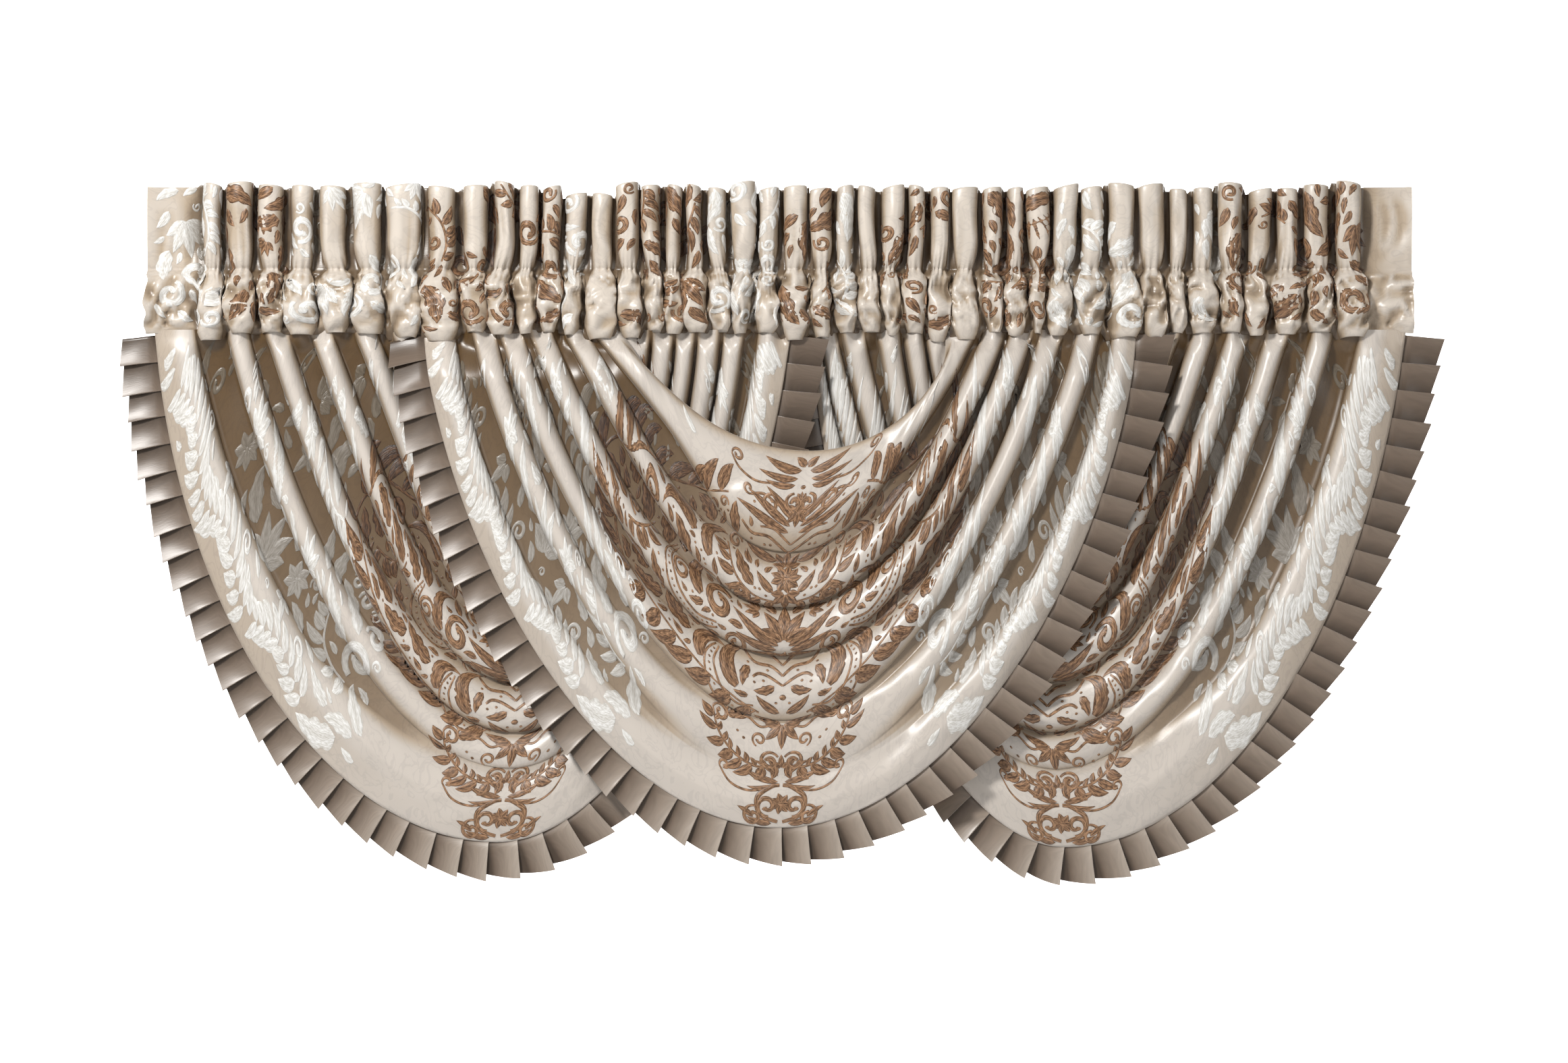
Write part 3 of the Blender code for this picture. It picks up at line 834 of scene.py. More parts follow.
def place_in(tables, values):
    """Where each value falls in its own rising row of numbers, with fractions."""
    at = np.clip((tables < values[:, None]).sum(axis=1), 1, tables.shape[1] - 1)
    low = np.take_along_axis(tables, at[:, None] - 1, 1)[:, 0]
    high = np.take_along_axis(tables, at[:, None], 1)[:, 0]
    return at - 1 + (values - low) / np.maximum(high - low, 1e-6)


class Cloth:
    """A curved sheet that flat figures can be laid on."""

    def __init__(self, grid, flat_x, flat_y, painted_shade, side):
        self.grid, self.flat_x, self.flat_y, self.painted_shade = grid, flat_x, flat_y, painted_shade
        du = np.gradient(grid, axis=1)
        dv = np.gradient(grid, axis=0)
        normal = np.cross(du, dv) * side
        self.normal = normal / np.maximum(np.linalg.norm(normal, axis=2), 1e-9)[:, :, None]

    def locate(self, x, y, rows):
        """Row and column, with fractions, of each place on the flat cloth."""
        count_r, count_c = self.flat_x.shape
        col = np.full(len(x), count_c / 2.0)
        ups = self.flat_y[rows[0]:rows[1]].T
        for _ in range(9):
            c0, f = cell_of(col, count_c)
            f = f[:, None]
            row = rows[0] + place_in(ups[c0] * (1 - f) + ups[c0 + 1] * f, y)
            r0, g = cell_of(row, count_r)
            g = g[:, None]
            col = 0.4 * col + 0.6 * place_in(self.flat_x[r0] * (1 - g) + self.flat_x[r0 + 1] * g, x)
        inside = (row > rows[0]) & (row < rows[1] - 1.001) & (col > 0.3) & (col < count_c - 1.3)
        return row, col, inside

    def sample(self, values, row, col):
        """Values of the grid's points, at places between them."""
        r0, g = cell_of(row, values.shape[0])
        c0, f = cell_of(col, values.shape[1])
        if values.ndim == 3:
            g, f = g[:, None], f[:, None]
        low = values[r0, c0] * (1 - f) + values[r0, c0 + 1] * f
        high = values[r0 + 1, c0] * (1 - f) + values[r0 + 1, c0 + 1] * f
        return low * (1 - g) + high * g


def thread_bands(figures):
    """The points of every stroke's band, and how many it has along and across.

    A point has its place on the flat cloth, its place across the stroke from -1 to 1, the stroke's
    half width and length so far, whether it has a vein, and a number that differs by stroke.
    """
    bands, sizes = [], []
    for number, (points, half, vein) in enumerate(figures):
        normal = normals(points)
        across = np.array((-1.0, -0.55, 0.0, 0.55, 1.0) if half.max() > 2.6 else (-1.0, 0.0, 1.0))
        spots = points[:, None, :] + normal[:, None, :] * (half[:, None] * across)[:, :, None]
        size = len(across)
        count = len(points) * size
        sizes.append((len(points), size))
        bands.append(np.column_stack((
            spots.reshape(-1, 2), np.tile(across, len(points)), np.repeat(half, size),
            np.repeat(lengths(points), size), np.full(count, vein), np.full(count, number * 3.7),
        )))
    return np.concatenate(bands), sizes


def weave_figures(name, cloth, figures, rows, material):
    """The raised threads of figures as one piece on the face of the cloth."""
    bands, sizes = thread_bands(figures)
    x, y, edge, half, run, vein, mark = bands.T
    row, col, inside = cloth.locate(x, y, rows)
    normal = cloth.sample(cloth.normal, row, col)
    normal = normal / np.maximum(np.linalg.norm(normal, axis=1), 1e-6)[:, None]
    rib = vein * (np.abs(edge) < 0.1) * np.minimum(1.0, half / 3.0)
    rise = THREAD_RISE + np.minimum(0.6, 0.2 * half) * (1 - edge * edge) - 0.22 * (np.abs(edge) > 0.9)
    place = cloth.sample(cloth.grid, row, col) + normal * (rise - 0.3 * rib)[:, None]
    quads, first = [], 0
    for count, size in sizes:
        if inside[first:first + count * size].all():
            quads.append(quads_between(first + np.arange(count * size).reshape(count, size)))
        first += count * size
    quads = np.concatenate(quads)
    used = np.unique(quads)
    renumber = np.zeros(len(place), int)
    renumber[used] = np.arange(len(used))
    quads = renumber[quads]
    corners = place[used[quads]]
    facing = np.cross(corners[:, 1] - corners[:, 0], corners[:, 3] - corners[:, 0])
    wrong = (facing * normal[used[quads[:, 0]]]).sum(axis=1) < 0
    quads[wrong] = quads[wrong][:, ::-1]
    layers = {
        "edge": np.maximum(np.abs(edge), 0.92 * rib),
        "thread": run,
        "width": edge * half,
        "mark": mark,
        # the painted shade of the cloth under each thread
        "fold": cloth.sample(cloth.painted_shade, row, col),
    }
    layers = {key: values[used] for key, values in layers.items()}
    return mesh_piece(name, place[used], quads, layers, material)


# Points over one gather; how far behind the gather's foot a valley reaches, and how far back a free end
# is held, as shares of the depth; what a heading has beyond its ends, and the crests of the two
# gathers that stand lower, in the photo's units.
PER_RUFFLE = 28
VALLEY = 0.16
END_HOLD = 0.45
HEADING_MORE = 2.8
LOW_RUFFLES = (852, 888)

# The heading's cut from its turned-in top, down the front and up the back of the pocket:
# height, how far back its middle is, how deep the gathers are, how wide and how far round they go.
PROFILE = (
    (-16.0, 3.4, 9.0, 0.72, 108),
    (-5.0, 3.2, 9.4, 0.74, 108),
    (-0.6, 1.6, 10.0, 0.78, 110),
    (-1.0, -0.4, 11.0, 0.80, 112),
    (-12.0, -0.8, 11.8, 0.80, 114),
    (-30.0, -0.8, 12.0, 0.78, 116),
    (-50.0, -0.6, 12.0, 0.77, 118),
    (-70.0, -0.4, 11.6, 0.75, 118),
    (-84.0, -0.4, 10.6, 0.70, 114),
    (-94.0, 0.2, 8.2, 0.60, 106),
    (-98.5, 0.8, 6.8, 0.54, 100),
    (-102.0, -2.2, 7.6, 0.62, 104),
    (-107.0, -8.6, 8.4, 0.80, 110),
    (-117.0, -15.4, 8.6, 0.91, 112),
    (-128.0, -19.0, 8.8, 0.95, 114),
    (-141.0, -20.8, 8.8, 0.95, 114),
    (-154.0, -20.0, 8.8, 0.92, 112),
    (-166.0, -16.0, 8.8, 0.80, 112),
    (-174.0, -12.0, 8.0, 0.62, 106),
    (-175.6, -10.2, 7.6, 0.60, 106),
    (-174.6, -8.8, 7.2, 0.60, 104),
    (-171.0, -8.2, 7.0, 0.62, 104),
    (-170.0, -2.0, 6.0, 0.66, 104),
    (-158.0, 13.0, 3.8, 0.70, 95),
    (-134.0, 18.5, 3.0, 0.70, 92),
    (-110.0, 13.0, 3.6, 0.62, 92),
    (-100.0, 5.6, 5.4, 0.54, 92),
)

# Of the cut's rows, three for each above, the ones up to this are on the front.
FRONT_ROWS = 59


def gather(width, wrap):
    """One gather from valley to valley: its place along the rod and how far forward, each from 0 to 1."""
    wrap = math.radians(wrap)
    around = np.linspace(-wrap, wrap, PER_RUFFLE - 5)
    foot = 0.5 - 0.5 * width * math.sin(wrap)
    x = 0.5 + 0.5 * width * np.sin(around)
    y = (np.cos(around) - math.cos(wrap)) / (1.0 - math.cos(wrap))
    side = np.linspace(0.0, 1.0, 4)[:-1] * math.pi / 2
    other = side[::-1][:-1]
    x = np.concatenate((foot * np.sin(side), x, 1.0 - foot * np.sin(other)))
    y = np.concatenate((-VALLEY * np.cos(side), y, -VALLEY * np.cos(other)))
    return x, (y + VALLEY) / (1.0 + VALLEY)


def strip(x, y, z, forward, tuck):
    """A stretch of a heading's cut at one height, with a row for each of its points."""
    return np.stack(np.broadcast_arrays(x, y, z, forward, tuck), axis=-1).reshape(-1, 5)


def tab_strip(edge, inner, part, centre, deep, z):
    """The flat end of a heading: part is 0 at its free edge and 1 where the gathers start."""
    y = centre + 1.4 * np.sin(3.2 * part) + 0.9 * deep * part
    # the fourth column, 0.85 down to 0.35, is the tab's painted shade
    return strip(edge + (inner - edge) * part, y, z, 0.85 - 0.5 * part ** 4, 0.0)


def below(z, level, over):
    """0 down to a level under the rod, and 1 from the given number of millimetres below it."""
    return smooth((-z - level) / over)


def peak(z, middle, wide):
    return np.exp(-((z - middle) / wide) ** 2)


def creases(x, y, seed):
    """Noise with sharp ridges, where smooth noise changes sign."""
    return 0.5 - 1.6 * np.abs(noise(x, y, seed))


def heading_grid(heading, seed):
    """A heading as rows of points, from its turned-in top down the front and up the back of the pocket."""
    ruffles = heading.ruffles
    last = len(ruffles) - 1
    start, end = heading.start - HEADING_MORE, heading.end + HEADING_MORE
    valleys = np.array([heading.tab_l or start] + valleys_between(ruffles) + [heading.tab_r or end])
    # each valley's sway and slower drift along the rod, and each gather's own tilt, twist and height
    rng = np.random.RandomState(seed)
    sway = np.concatenate(([0.0], rng.uniform(-1, 1, last), [0.0]))
    drift = np.concatenate(([0.0], rng.uniform(-1, 1, last), [0.0]))
    tilt = rng.uniform(-1, 1, len(ruffles))
    twist = rng.uniform(-1, 1, len(ruffles))
    tall = rng.uniform(-1, 1, len(ruffles))
    steps = np.linspace(0.0, 1.0, 16)
    cuts = []
    for number, (z, middle, deep, width, wrap) in enumerate(rounded(PROFILE, 3)):
        low = below(z, 60.0, 60.0)
        is_top = 1.0 - below(z, 0.0, 90.0)
        behind = number > FRONT_ROWS
        in_front_pocket = 0.0 if behind else below(z, 100.0, 12.0)
        foot = 0.0 if behind and middle > 3.0 else below(z, 150.0, 22.0)
        centre = middle + (heading.seam + 8.0) * foot
        spots = valleys + (8.0 * sway + 5.0 * drift * math.sin(0.045 * z)) * (low - 0.3)
        strips = []
        if heading.tab_l:
            strips.append(tab_strip(start, heading.tab_l, steps[:-1], centre, deep, z))
        for k in range(len(ruffles)):
            more = 0.10 * twist[k] * (1.0 - 2.0 * low) + 0.05 * tall[k]
            along, forward = gather(min(max(width + more, 0.42), 0.955), wrap)
            skew = 8.0 * tilt[k] * (low - 0.4) + 3.0 * twist[k] * math.sin(0.05 * z + 6 * tilt[k])
            edge_l = END_HOLD if k == 0 and not heading.tab_l else 1.0
            edge_r = END_HOLD if k == last and not heading.tab_r else 1.0
            hold = np.where(np.arange(PER_RUFFLE) < PER_RUFFLE // 2, edge_l, edge_r)
            back = centre + 0.95 * deep * hold
            crest = centre - deep * (1.0 + 0.20 * tall[k])
            lift = 3.5 * forward - 2.0 + 4.2 * tall[k] + 7.0 * twist[k] * (along - 0.5)
            if ruffles[k] in LOW_RUFFLES:
                lift = lift - 7.0
            hem = 3.6 * tilt[k] * forward - (7.5 if k in (0, last) else 0.0)
            strips.append(strip(
                spots[k] + (spots[k + 1] - spots[k]) * along + skew * forward,
                back + (crest - back) * forward,
                z + lift * is_top + hem * in_front_pocket,
                forward, k + 1.0 + along,
            ))
        if heading.tab_r:
            strips.append(tab_strip(end, heading.tab_r, steps[::-1], centre, deep, z))
        else:
            strips.append(strip(end, centre + 0.95 * deep * END_HOLD, z, 0.3, 0.0))
        cuts.append(np.concatenate(strips))
    # the fourth column, how far forward the cloth stands, is kept as its painted shade: light on the
    # gathers, dark in the valleys
    x, y, z, painted_shade, tuck = np.moveaxis(np.array(cuts), -1, 0)
    return crumpled(np.stack((real_x(x), y, z), axis=-1), painted_shade, tuck, seed)


def crumpled(grid, painted_shade, tuck, seed):
    """Tucks at the stitching, crumples in the pocket and soft folds in the header, on the front only, with
    painted shade in their creases.
    """
    flat_x, flat_y = cloth_places(grid)
    # threads run up the gathers, so a place keeps its distance along the cut at every height
    flat_x = np.repeat(flat_x[6:FRONT_ROWS - 8].mean(axis=0)[None, :], len(grid), axis=0)
    flat_y = np.repeat(flat_y.mean(axis=1)[:, None], grid.shape[1], axis=1)
    z = grid[:, :, 2].copy()
    front = smooth((FRONT_ROWS + 2.0 - np.arange(len(grid))) / 6.0)[:, None]
    pocket = below(z, 101.0, 9.0) * (1.0 - below(z, 163.0, 13.0))
    head = below(z, 4.0, 26.0) * (1.0 - below(z, 74.0, 20.0))
    pinch = peak(z, -99.0, 13.0) + 0.5 * peak(z, -84.0, 10.0) + 0.6 * peak(z, -114.0, 11.0)
    number = np.floor(tuck)
    waves = 2.0 + (number * 7 + seed) % 2
    wave = np.sin(2 * math.pi * waves * tuck + 1.7 * number + 0.02 * z * np.sin(number * 5.1))
    reach = np.exp(-np.abs(z + 99.0) / (17.0 + 10.0 * np.sin(number * 2.3 + seed)))
    tucks = (np.abs(wave) - 0.5) * reach * (number > 0)
    pinched = noise(flat_x / 5.5, flat_y / 26.0, seed + 5) * pinch + 3.4 * tucks
    slant = noise(flat_x / 60.0, flat_y / 60.0, seed + 11) * 30.0
    folded = creases((flat_x + slant) / 17.0 + flat_y / 34.0, flat_y / 26.0, seed + 6)
    small = creases((flat_x - slant) / 10.0 - flat_y / 22.0, flat_y / 15.0, seed + 7)
    puff = (6.8 * folded + 4.8 * small) * pocket
    drape = creases((flat_x + 0.4 * slant) / 15.0, flat_y / 60.0, seed + 8)
    soft = (2.4 * drape + 0.9 * noise(flat_x / 9.0, flat_y / 26.0, seed + 12)) * head
    grid[:, :, 1] -= (pinched + puff + soft) * front
    grid[:, :, 0] += (3.0 * noise(flat_x / 20.0, flat_y / 14.0, seed + 9) * pocket + tucks) * front
    grid[:, :, 2] += 2.0 * noise(flat_x / 24.0, flat_y / 40.0, seed + 10) * front * below(z, 150.0, 20.0)
    # painted shade: darker in the creases and tucks, and the pocket painted lighter overall
    shadow = (0.42 * (0.10 - folded) + 0.30 * (0.10 - small)) * pocket
    shadow = shadow + 0.22 * (0.2 - drape) * head - 0.5 * tucks
    painted_shade = np.clip(painted_shade + 0.40 * (1.0 - painted_shade) * pocket - shadow * front, 0.0, 1.0)
    return grid, painted_shade, flat_x, flat_y


def pleat_cut(start, fold, lap, is_last):
    """One pleat along the hem, each point's place, how far back it lies and its painted shade.

    Its face runs from under the pleat before to its own fold, and behind that it turns back under.
    """
    face = np.concatenate((np.linspace(start - lap, start, 3)[:-1], np.linspace(start, fold - 0.9, 11)))
    part = (face - start) / (fold - start)
    back = 0.5 - np.clip(part, 0, 1) ** 1.9 - 0.3 * np.clip(part, -0.3, 0)
    # painted shadow: a pleat's face is dark where it comes out from under the fold before, and light at its
    # own fold
    cut = list(zip(face, TRIM_RISE * back, np.clip(part, -0.35, 1)))
    tip = -0.5 * TRIM_RISE
    cut += [(fold - 0.25, tip - 0.05, 1.0), (fold, tip + 0.5, 0.9)]
    cut += [(fold - 0.25, tip + 1.0, 0.3), (fold - 3.0, tip + 1.5, 0.2)]
    if not is_last:
        under = fold - TRIM_LAP
        cut += [(under + 1.2, -tip - 0.7, 0.0), (under, -tip - 0.3, 0.0), (under + 0.5, -tip + 0.2, 0.0)]
    return cut


def trim_grid(lines, depths, seed):
    """Knife pleats along the hem: each one's fold lies over the start of the next."""
    across = np.linspace(-1.0, 1.0, 1601)
    x, z = fold_line(lines[0], across)
    y = fold_depth(depths[0], across, z)
    hung = z < BODY_TOP_Z - TRIM_DROP
    x, y, z = x[hung], y[hung], z[hung]
    run = lengths(np.stack((x, z), axis=1))
    pleats = int(round(run[-1] / TRIM_PITCH))
    pitch = run[-1] / pleats
    # for each pleat, by column: its fold's shift, its lean, its length and its bow; the last is spare
    jitter = np.random.RandomState(seed).uniform(-1, 1, (pleats + 1, 5))
    fold_at = pitch * np.arange(1, pleats + 1) + 1.8 * jitter[:-1, 0]
    fold_at[-1] = run[-1]
    cut, owner = [], []
    for k in range(pleats):
        start = fold_at[k - 1] if k else 0.0
        pleat = pleat_cut(start, fold_at[k], TRIM_LAP if k else 0.0, k == pleats - 1)
        cut += pleat
        owner += [k] * len(pleat)
    places, fronts, shade = np.array(cut).T
    owner = np.array(owner)
    hold = np.clip(places, 0.0, run[-1])
    px, py, pz = (np.interp(hold, run, v) for v in (x, y, z))
    # each pleat keeps one direction, so that its sides run parallel and its corner sticks out
    mid = np.clip((owner + 0.6) * pitch, 2.0, run[-1] - 2.0)
    tx, tz = (np.interp(mid + 6.0, run, v) - np.interp(mid - 6.0, run, v) for v in (x, z))
    size = np.hypot(tx, tz)
    tx, tz = tx / size, tz / size
    lean = 0.05 * jitter[owner, 1] + 0.05
    nx, nz = tz + tx * lean, -tx + tz * lean
    widths = np.concatenate((np.linspace(-7.0, 0.0, 3)[:-1], np.linspace(0.0, 1.0, 13) * TRIM_WIDTH))
    rows = []
    for width in widths:
        out = max(width, 0.0) / TRIM_WIDTH
        grow = 1.0 + (0.035 * jitter[owner, 2] - 0.075 + 0.12 * shade) * smooth(out * 1.2)
        reach = width * grow if width > 0 else width
        bow = 1.3 * math.sin(math.pi * out) * (shade - 0.3) * (0.6 + 0.5 * jitter[owner, 3])
        spread = 0.30 + 0.70 * smooth(out * 1.3)
        press = 2.4 * (1 - smooth((width + 3.0) / 12.0))
        step_y = py + fronts * spread - 1.2 * out + press
        rows.append(np.stack((px + nx * reach - tx * bow, step_y, pz + nz * reach - tz * bow), axis=1))
    grid = np.array(rows)
    flat_x = np.repeat(lengths(np.stack((places, fronts), axis=1))[None, :], len(widths), axis=0)
    flat_y = np.repeat(widths[:, None], len(places), axis=1)
    grid[:, :, 1] += 0.3 * noise(flat_x / 16.0, flat_y / 20.0, seed + 3) * smooth(flat_y / 12.0)
    # painted shade: where the hem runs steeply, on a swag's sides, the pleats are painted darker, facing
    # away from the light above
    shade = shade * (1.0 - 0.84 * tz * tz)
    return grid, np.repeat(shade[None, :], len(widths), axis=0), flat_x, flat_y


def tree_of(name):
    material = bpy.data.materials.new(name)
    material.use_nodes = True
    tree = material.node_tree
    return material, tree, tree.nodes["Principled BSDF"]


def node(tree, kind, **settings):
    """A node, with settings given as inputs or as properties."""
    made = tree.nodes.new(kind)
    for key, value in settings.items():
        if key in made.inputs:
            made.inputs[key].default_value = value
        else:
            setattr(made, key, value)
    return made


def number_from(tree, key):
    return node(tree, "ShaderNodeAttribute", attribute_name=key).outputs["Fac"]


def ramp(tree, source, stops):
    """A colour ramp from stops of place and colour."""
    stops = tuple(stops)
    made = tree.nodes.new("ShaderNodeValToRGB")
    band = made.color_ramp
    while len(band.elements) < len(stops):
        band.elements.new(0.5)
    for element, (place, colour) in zip(band.elements, stops):
        element.position = place
        element.color = (*colour, 1.0)
    tree.links.new(source, made.inputs["Fac"])
    return made.outputs["Color"]


def multiply(tree, first, second, amount=1.0):
    """One colour times another in the material."""
    mix = tree.nodes.new("ShaderNodeMix")
    mix.data_type = "RGBA"
    mix.blend_type = "MULTIPLY"
    mix.inputs[0].default_value = amount
    tree.links.new(first, mix.inputs[6])
    tree.links.new(second, mix.inputs[7])
    return mix.outputs[2]


def vector_from(tree, *scaled):
    """A vector in the material from up to three numbers kept at the points, each times its scale."""
    join = tree.nodes.new("ShaderNodeCombineXYZ")
    for slot, (key, scale) in zip("XYZ", scaled):
        times = node(tree, "ShaderNodeMath", operation="MULTIPLY")
        times.inputs[1].default_value = scale
        tree.links.new(number_from(tree, key), times.inputs[0])
        tree.links.new(times.outputs[0], join.inputs[slot])
    return join.outputs[0]


def mottle(tree, vector=None, **settings):
    """Smooth noise in the material, over a vector of its own or over the whole object."""
    made = node(tree, "ShaderNodeTexNoise", **settings)
    if vector is not None:
        tree.links.new(vector, made.inputs["Vector"])
    return made.outputs["Fac"]


def raised(tree, shader, source, strength, distance):
    """Small bumps in the material, distance high in metres."""
    bump = node(tree, "ShaderNodeBump", Strength=strength, Distance=distance)
    tree.links.new(source, bump.inputs["Height"])
    tree.links.new(bump.outputs["Normal"], shader.inputs["Normal"])


def finish_cloth(tree, shader, colour, rough, sheen, sheen_rough, specular=0.5, tint=WHITE):
    """The colour, gloss and sheen of a cloth."""
    tree.links.new(colour, shader.inputs["Base Color"])
    shader.inputs["Roughness"].default_value = rough
    shader.inputs["Specular IOR Level"].default_value = specular
    shader.inputs["Sheen Weight"].default_value = sheen
    shader.inputs["Sheen Roughness"].default_value = sheen_rough
    shader.inputs["Sheen Tint"].default_value = (*tint, 1.0)


def blend(dark, light, share, warm=WHITE):
    """A colour between two, its red, green and blue each times a number."""
    return tuple(w * ((1.0 - share) * a + share * b) for a, b, w in zip(dark, light, warm))


def satin(name, light, dark, places, sheen):
    """Woven satin with painted light: a painted highlight on the crests and painted brown shade where the
    folds close over it.
    """
    material, tree, shader = tree_of(name)
    # painted shade and light along the fold value: dark shade in a valley, the light colour on a crest, and
    # a painted highlight brighter still
    low = blend(dark, light, 0.20, (1.02, 0.94, 0.80))
    half = blend(dark, light, 0.66, (1.05, 0.96, 0.83))
    crest = tuple(1.10 * part for part in light)
    colour = ramp(tree, number_from(tree, "fold"), zip(places, (dark, low, half, light, crest)))
    wide = vector_from(tree, ("cloth_x", 0.03), ("cloth_y", 0.03))
    swirl = mottle(tree, wide, Scale=1.0, Detail=2.0, Distortion=2.6)
    faint = (0.90, 0.90, 0.91)
    edge = ramp(tree, swirl, ((0.46, WHITE), (0.49, faint), (0.53, faint), (0.56, WHITE)))
    colour = multiply(tree, colour, edge, 0.8)
    finish_cloth(
        tree, shader, colour, rough=0.34, sheen=sheen, sheen_rough=0.45,
        specular=0.55, tint=(1.0, 0.95, 0.88),
    )
    grain = mottle(tree, vector_from(tree, ("cloth_x", 0.10), ("cloth_y", 0.9)), Scale=1.0, Detail=3.0)
    raised(tree, shader, grain, strength=0.12, distance=0.0006)
    return material


def thread(name, light, dark, rim_colour, shade, rough):
    """Raised pattern threads: long marks along each stroke, darker at its edges, and painted shade in the
    folds.
    """
    material, tree, shader = tree_of(name)
    along = vector_from(tree, ("width", 0.95), ("thread", 0.16), ("mark", 1.0))
    marks = mottle(tree, along, Scale=1.0, Detail=2.0)
    colour = ramp(tree, marks, ((0.37, dark), (0.50, blend(dark, light, 0.5)), (0.62, light)))
    rim = ramp(tree, number_from(tree, "edge"), ((0.0, WHITE), (0.62, WHITE), (1.0, rim_colour)))
    # painted shade: the threads darken where the cloth under them is shaded
    deep = ramp(tree, number_from(tree, "fold"), ((0.0, shade), (0.7, WHITE)))
    colour = multiply(tree, multiply(tree, colour, rim), deep)
    finish_cloth(tree, shader, colour, rough=rough, sheen=0.2, sheen_rough=0.4)
    raised(tree, shader, marks, strength=0.8, distance=0.0005)
    return material


def pleated(name, tones):
    """Plain satin of the trim with painted shadow: dark where a pleat comes out from under the one before.
    """
    material, tree, shader = tree_of(name)
    colour = ramp(tree, number_from(tree, "lap"), zip((0.0, 0.14, 0.5, 0.95), tones))
    cloudy = ramp(tree, mottle(tree, Scale=28.0, Detail=2.0), ((0.3, (0.84, 0.84, 0.84)), (0.7, WHITE)))
    finish_cloth(tree, shader, multiply(tree, colour, cloudy), rough=0.34, sheen=0.3, sheen_rough=0.4)
    grain = mottle(tree, vector_from(tree, ("cloth_x", 0.9), ("cloth_y", 0.1)), Scale=1.0, Detail=3.0)
    raised(tree, shader, grain, strength=0.12, distance=0.0006)
    return material


def painted_floor(name):
    material, tree, shader = tree_of(name)
    stops = ((0.3, (0.93, 0.93, 0.93)), (0.7, (0.95, 0.95, 0.95)))
    tree.links.new(ramp(tree, mottle(tree, Scale=1.5, Detail=1.0), stops), shader.inputs["Base Color"])
    shader.inputs["Roughness"].default_value = 0.9
    return material


# each satin's light colour is the painted light of a crest, and its dark colour the painted shade of a deep
# valley
champagne = satin(
    "champagne_damask", light=(0.475, 0.43, 0.385), dark=(0.085, 0.047, 0.016),
    places=(0.0, 0.30, 0.58, 0.80, 1.0), sheen=0.22,
)
ruffled = satin(
    "ruffled_damask", light=(0.51, 0.455, 0.395), dark=(0.10, 0.064, 0.034),
    places=(0.0, 0.38, 0.68, 0.89, 1.0), sheen=0.2,
)
# the trim's colours from the painted shadow under a fold to lit satin
taupe = pleated(
    "taupe_satin",
    ((0.06, 0.04, 0.026), (0.145, 0.106, 0.078), (0.25, 0.20, 0.158), (0.36, 0.305, 0.255)),
)
brown = thread(
    "bronze_thread", light=(0.365, 0.205, 0.108), dark=(0.080, 0.038, 0.015),
    rim_colour=(0.34, 0.27, 0.21), shade=(0.23, 0.17, 0.11), rough=0.42,
)
ivory = thread(
    "ivory_thread", light=(0.74, 0.735, 0.72), dark=(0.53, 0.51, 0.475),
    rim_colour=(0.80, 0.78, 0.75), shade=(0.17, 0.135, 0.095), rough=0.36,
)

# What each gather of a heading shows, left to right: brown or ivory figures, or plain satin.
TONES = {
    "heading_left_outer": "IBBIIII",
    "heading_centre_left": "BBBBBIP",
    "heading_left_inner": "BBBBIIIB",
    "heading_right_inner": "BIPBBB",
    "heading_centre_right": "PBBBIII",
    "heading_right_outer": "PPIBBBBB",
}


def tone_runs(heading, width):
    """Stretches of a heading that have one tone, from the left: the tone, where it starts and ends."""
    tones = TONES[heading.name]
    lead = (heading.tab_l - heading.start) * UNIT if heading.tab_l else 0.0
    tail = (heading.end - heading.tab_r) * UNIT if heading.tab_r else 0.0
    each = (width - lead - tail) / len(heading.ruffles)
    runs = [("I", 6.0, lead + 0.4 * each)] if lead else []
    first = 0
    for number in range(1, len(tones) + 1):
        if number == len(tones) or tones[number] != tones[first]:
            runs.append((tones[first], lead + each * first + 1.0, lead + each * number - 1.0))
            first = number
    return runs


def heading_figures(heading, width, seed):
    """Figures along a heading, brown or ivory by the gather they fall on."""
    sets = {"B": [], "I": []}
    for number, (tone, low, high) in enumerate(tone_runs(heading, width)):
        if tone == "P":
            continue

        def inside(x, y):
            plain = noise(x / 44.0 + seed, y / 40.0 + number, seed + 60) < -0.36
            return (x > low) & (x < high) & (y > 14.0) & (y < 196.0) & ~plain

        def upward(x, y):
            return 90.0 + 50.0 * math.sin(x / 31.0 + y / 45.0)

        field = Field(int(low), 10, int(high - low) + 2, 190, inside)
        count = int((high - low) / 10.0) + 6
        sizes = ((54, 12 * count), (40, 20 * count), (28, 28 * count), (18, 28 * count))
        sets[tone] += filled(field, seed + 13 * number, sizes, upward, 1.6)
    return sets["B"], sets["I"]


def declare(node_name):
    """Hides the CAD part of that node in renders and in the viewport."""
    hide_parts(node_name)


# Where each kind of piece starts its random numbers, and what is added to the flat coordinates, so
# that the grain differs from one cloth to the next.
BODY_SEED = 20
TRIM_SEED = 50
HEADING_SEED = 80
FIGURE_SEED = 300
BODY_SHIFT = 2000.0
HEADING_SHIFT = 700.0


def woven(name, cloth, brown_figures, ivory_figures, rows):
    """The brown and the ivory threads on one cloth, between two of its rows."""
    return [
        weave_figures("pattern_brown_" + name, cloth, brown_figures, rows, brown),
        weave_figures("pattern_ivory_" + name, cloth, ivory_figures, rows, ivory),
    ]


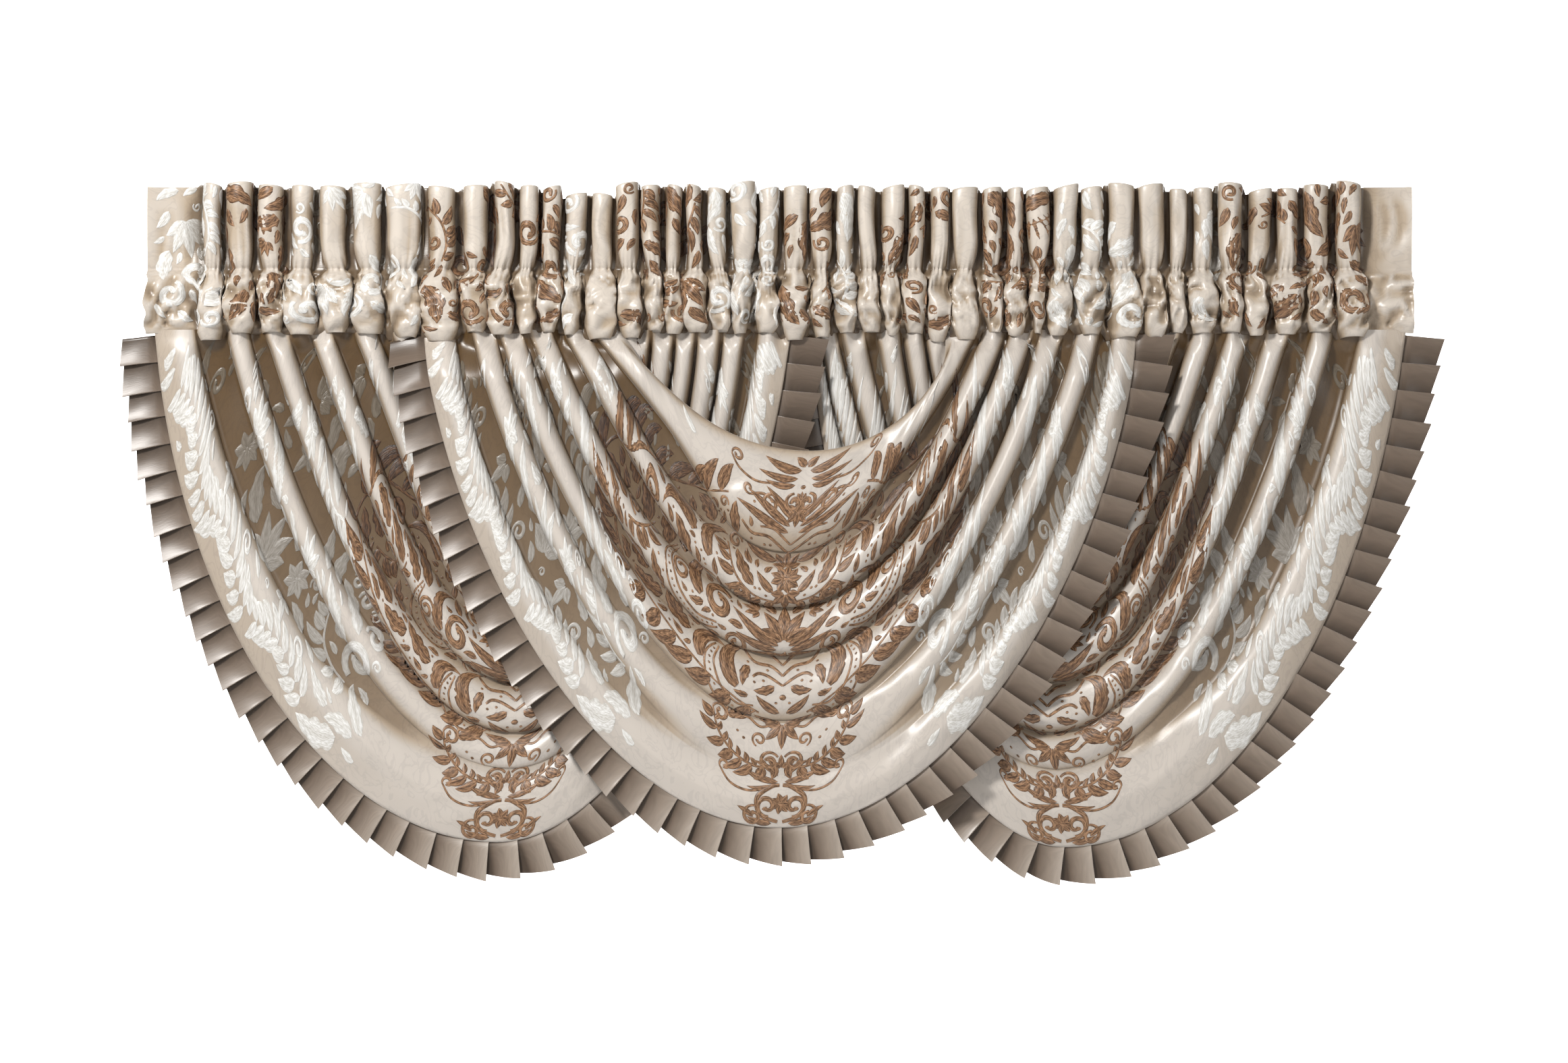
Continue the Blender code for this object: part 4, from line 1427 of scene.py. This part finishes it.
brown_flat = moved(fleur(), 0, 16) + moved(medallion(), 0, 146) + moved(palmette(), 0, 494)
ivory_flat = ivory_ground()
for number, (side, lines, depths, head_l, head_r, painted_shade_power) in enumerate(SWAGS):
    grid, painted_fold_shade, flat_x, flat_y = body_grid(lines, depths, head_l, head_r, BODY_SEED + 5 * number)
    # the side swags' painted fold shade is made darker by that power
    painted_fold_shade = painted_fold_shade ** painted_shade_power
    layers = {"fold": painted_fold_shade, "cloth_x": flat_x + BODY_SHIFT, "cloth_y": flat_y}
    body = grid_mesh("cloth_body_" + side, grid, layers, champagne)
    cloth = Cloth(grid, flat_x, flat_y, painted_fold_shade, 1.0)
    figures = woven(side, cloth, brown_flat, ivory_flat, (4, len(grid) - 6))
    declare("body_" + side)
    trim, lap, trim_x, trim_y = trim_grid(lines, depths, TRIM_SEED + 5 * number)
    # lap carries the pleats' painted shade
    layers = {"lap": lap, "cloth_x": trim_x, "cloth_y": trim_y}
    edge = grid_mesh("cloth_trim_" + side, trim, layers, taupe, False)
    declare("trim_" + side)

for number, heading in enumerate(HEADINGS):
    grid, painted_shade, flat_x, flat_y = heading_grid(heading, HEADING_SEED + 9 * number)
    layers = {"fold": painted_shade, "cloth_x": flat_x + HEADING_SHIFT * number, "cloth_y": flat_y}
    top = grid_mesh("cloth_" + heading.name, grid, layers, ruffled, False)
    cloth = Cloth(grid, flat_x, flat_y, painted_shade, -1.0)
    brown_set, ivory_set = heading_figures(heading, flat_x[0, -1], FIGURE_SEED + 20 * number)
    figures = woven(heading.name, cloth, brown_set, ivory_set, (6, FRONT_ROWS - 3))
    declare(heading.name)


# The cove in metres: its floor, back wall, the round bend between them, and how far it reaches.
FLOOR_Z = -2.6
FLOOR_FRONT_Y = -9.0
WALL_Y = 9.0
WALL_TOP_Z = 5.6
BEND = 1.0
HALF_WIDE = 9.0


def cove():
    """Pale floor that curves up into a far backdrop, so that a camera has room all round."""
    bend_y, bend_z = WALL_Y - BEND, FLOOR_Z + BEND
    cut = [(FLOOR_FRONT_Y, FLOOR_Z), (bend_y, FLOOR_Z)]
    for k in range(1, 13):
        turn = k / 12 * math.pi / 2
        cut.append((bend_y + BEND * math.sin(turn), bend_z - BEND * math.cos(turn)))
    cut += [(WALL_Y, 0.4), (WALL_Y, WALL_TOP_Z)]
    points = [(x, y, z) for y, z in cut for x in (-HALF_WIDE, HALF_WIDE)]
    faces = [(2 * k, 2 * k + 1, 2 * k + 3, 2 * k + 2) for k in range(len(cut) - 1)]
    mesh = bpy.data.meshes.new("floor")
    mesh.from_pydata(points, [], faces)
    mesh.polygons.foreach_set("use_smooth", [True] * len(faces))
    mesh.materials.append(painted_floor("pale_floor"))
    thing = bpy.data.objects.new("floor", mesh)
    bpy.context.scene.collection.objects.link(thing)


def area_light(name, place, target, size, power, colour):
    """A round lamp at a place in metres that shines at its target."""
    data = bpy.data.lights.new(name, "AREA")
    data.shape = "DISK"
    data.size = size
    data.energy = power
    data.color = colour
    lamp = bpy.data.objects.new(name, data)
    bpy.context.scene.collection.objects.link(lamp)
    lamp.location = place
    aim = np.array(target) - np.array(place)
    lamp.rotation_euler = (math.atan2(math.hypot(aim[0], aim[1]), -aim[2]), 0.0, math.atan2(-aim[0], aim[1]))


cove()
VALANCE_MIDDLE = (0.0, 0.0, -0.4)
WARM_WHITE = (1.0, 0.985, 0.96)
area_light("key", (-1.7, -2.6, 1.5), VALANCE_MIDDLE, size=0.55, power=133.0, colour=WARM_WHITE)
area_light("fill", (2.4, -3.2, 0.2), VALANCE_MIDDLE, size=1.6, power=22.0, colour=WARM_WHITE)
for side, sign in (("left", -1.0), ("right", 1.0)):
    target = (1.6 * sign, WALL_Y, -0.7)
    area_light("backdrop_" + side, (4.4 * sign, 5.0, 2.6), target, size=2.8, power=640.0, colour=WHITE)

world = bpy.data.worlds.new("studio")
bpy.context.scene.world = world
world.use_nodes = True
background = world.node_tree.nodes["Background"]
background.inputs["Color"].default_value = (*WHITE, 1.0)
background.inputs["Strength"].default_value = 0.42
bpy.context.scene.view_settings.view_transform = "Standard"

# The photo looks straight at the valance from a long way off: metres, and the sensor in millimetres.
CAMERA_AWAY = 4.6
SENSOR = 36.0
centre_x = 0.001 * real_x(0.5 * PICTURE_WIDE)
centre_z = -0.001 * (0.5 * PICTURE_HIGH - TOP_Y) * UNIT
camera_data = bpy.data.cameras.new("camera")
camera_data.sensor_fit = "HORIZONTAL"
camera_data.sensor_width = SENSOR
camera_data.lens = SENSOR * CAMERA_AWAY / (0.001 * PICTURE_WIDE * UNIT)
camera = bpy.data.objects.new("camera", camera_data)
camera.location = (centre_x, -CAMERA_AWAY, centre_z)
camera.rotation_euler = (math.pi / 2, 0.0, 0.0)
bpy.context.scene.collection.objects.link(camera)
bpy.context.scene.camera = camera
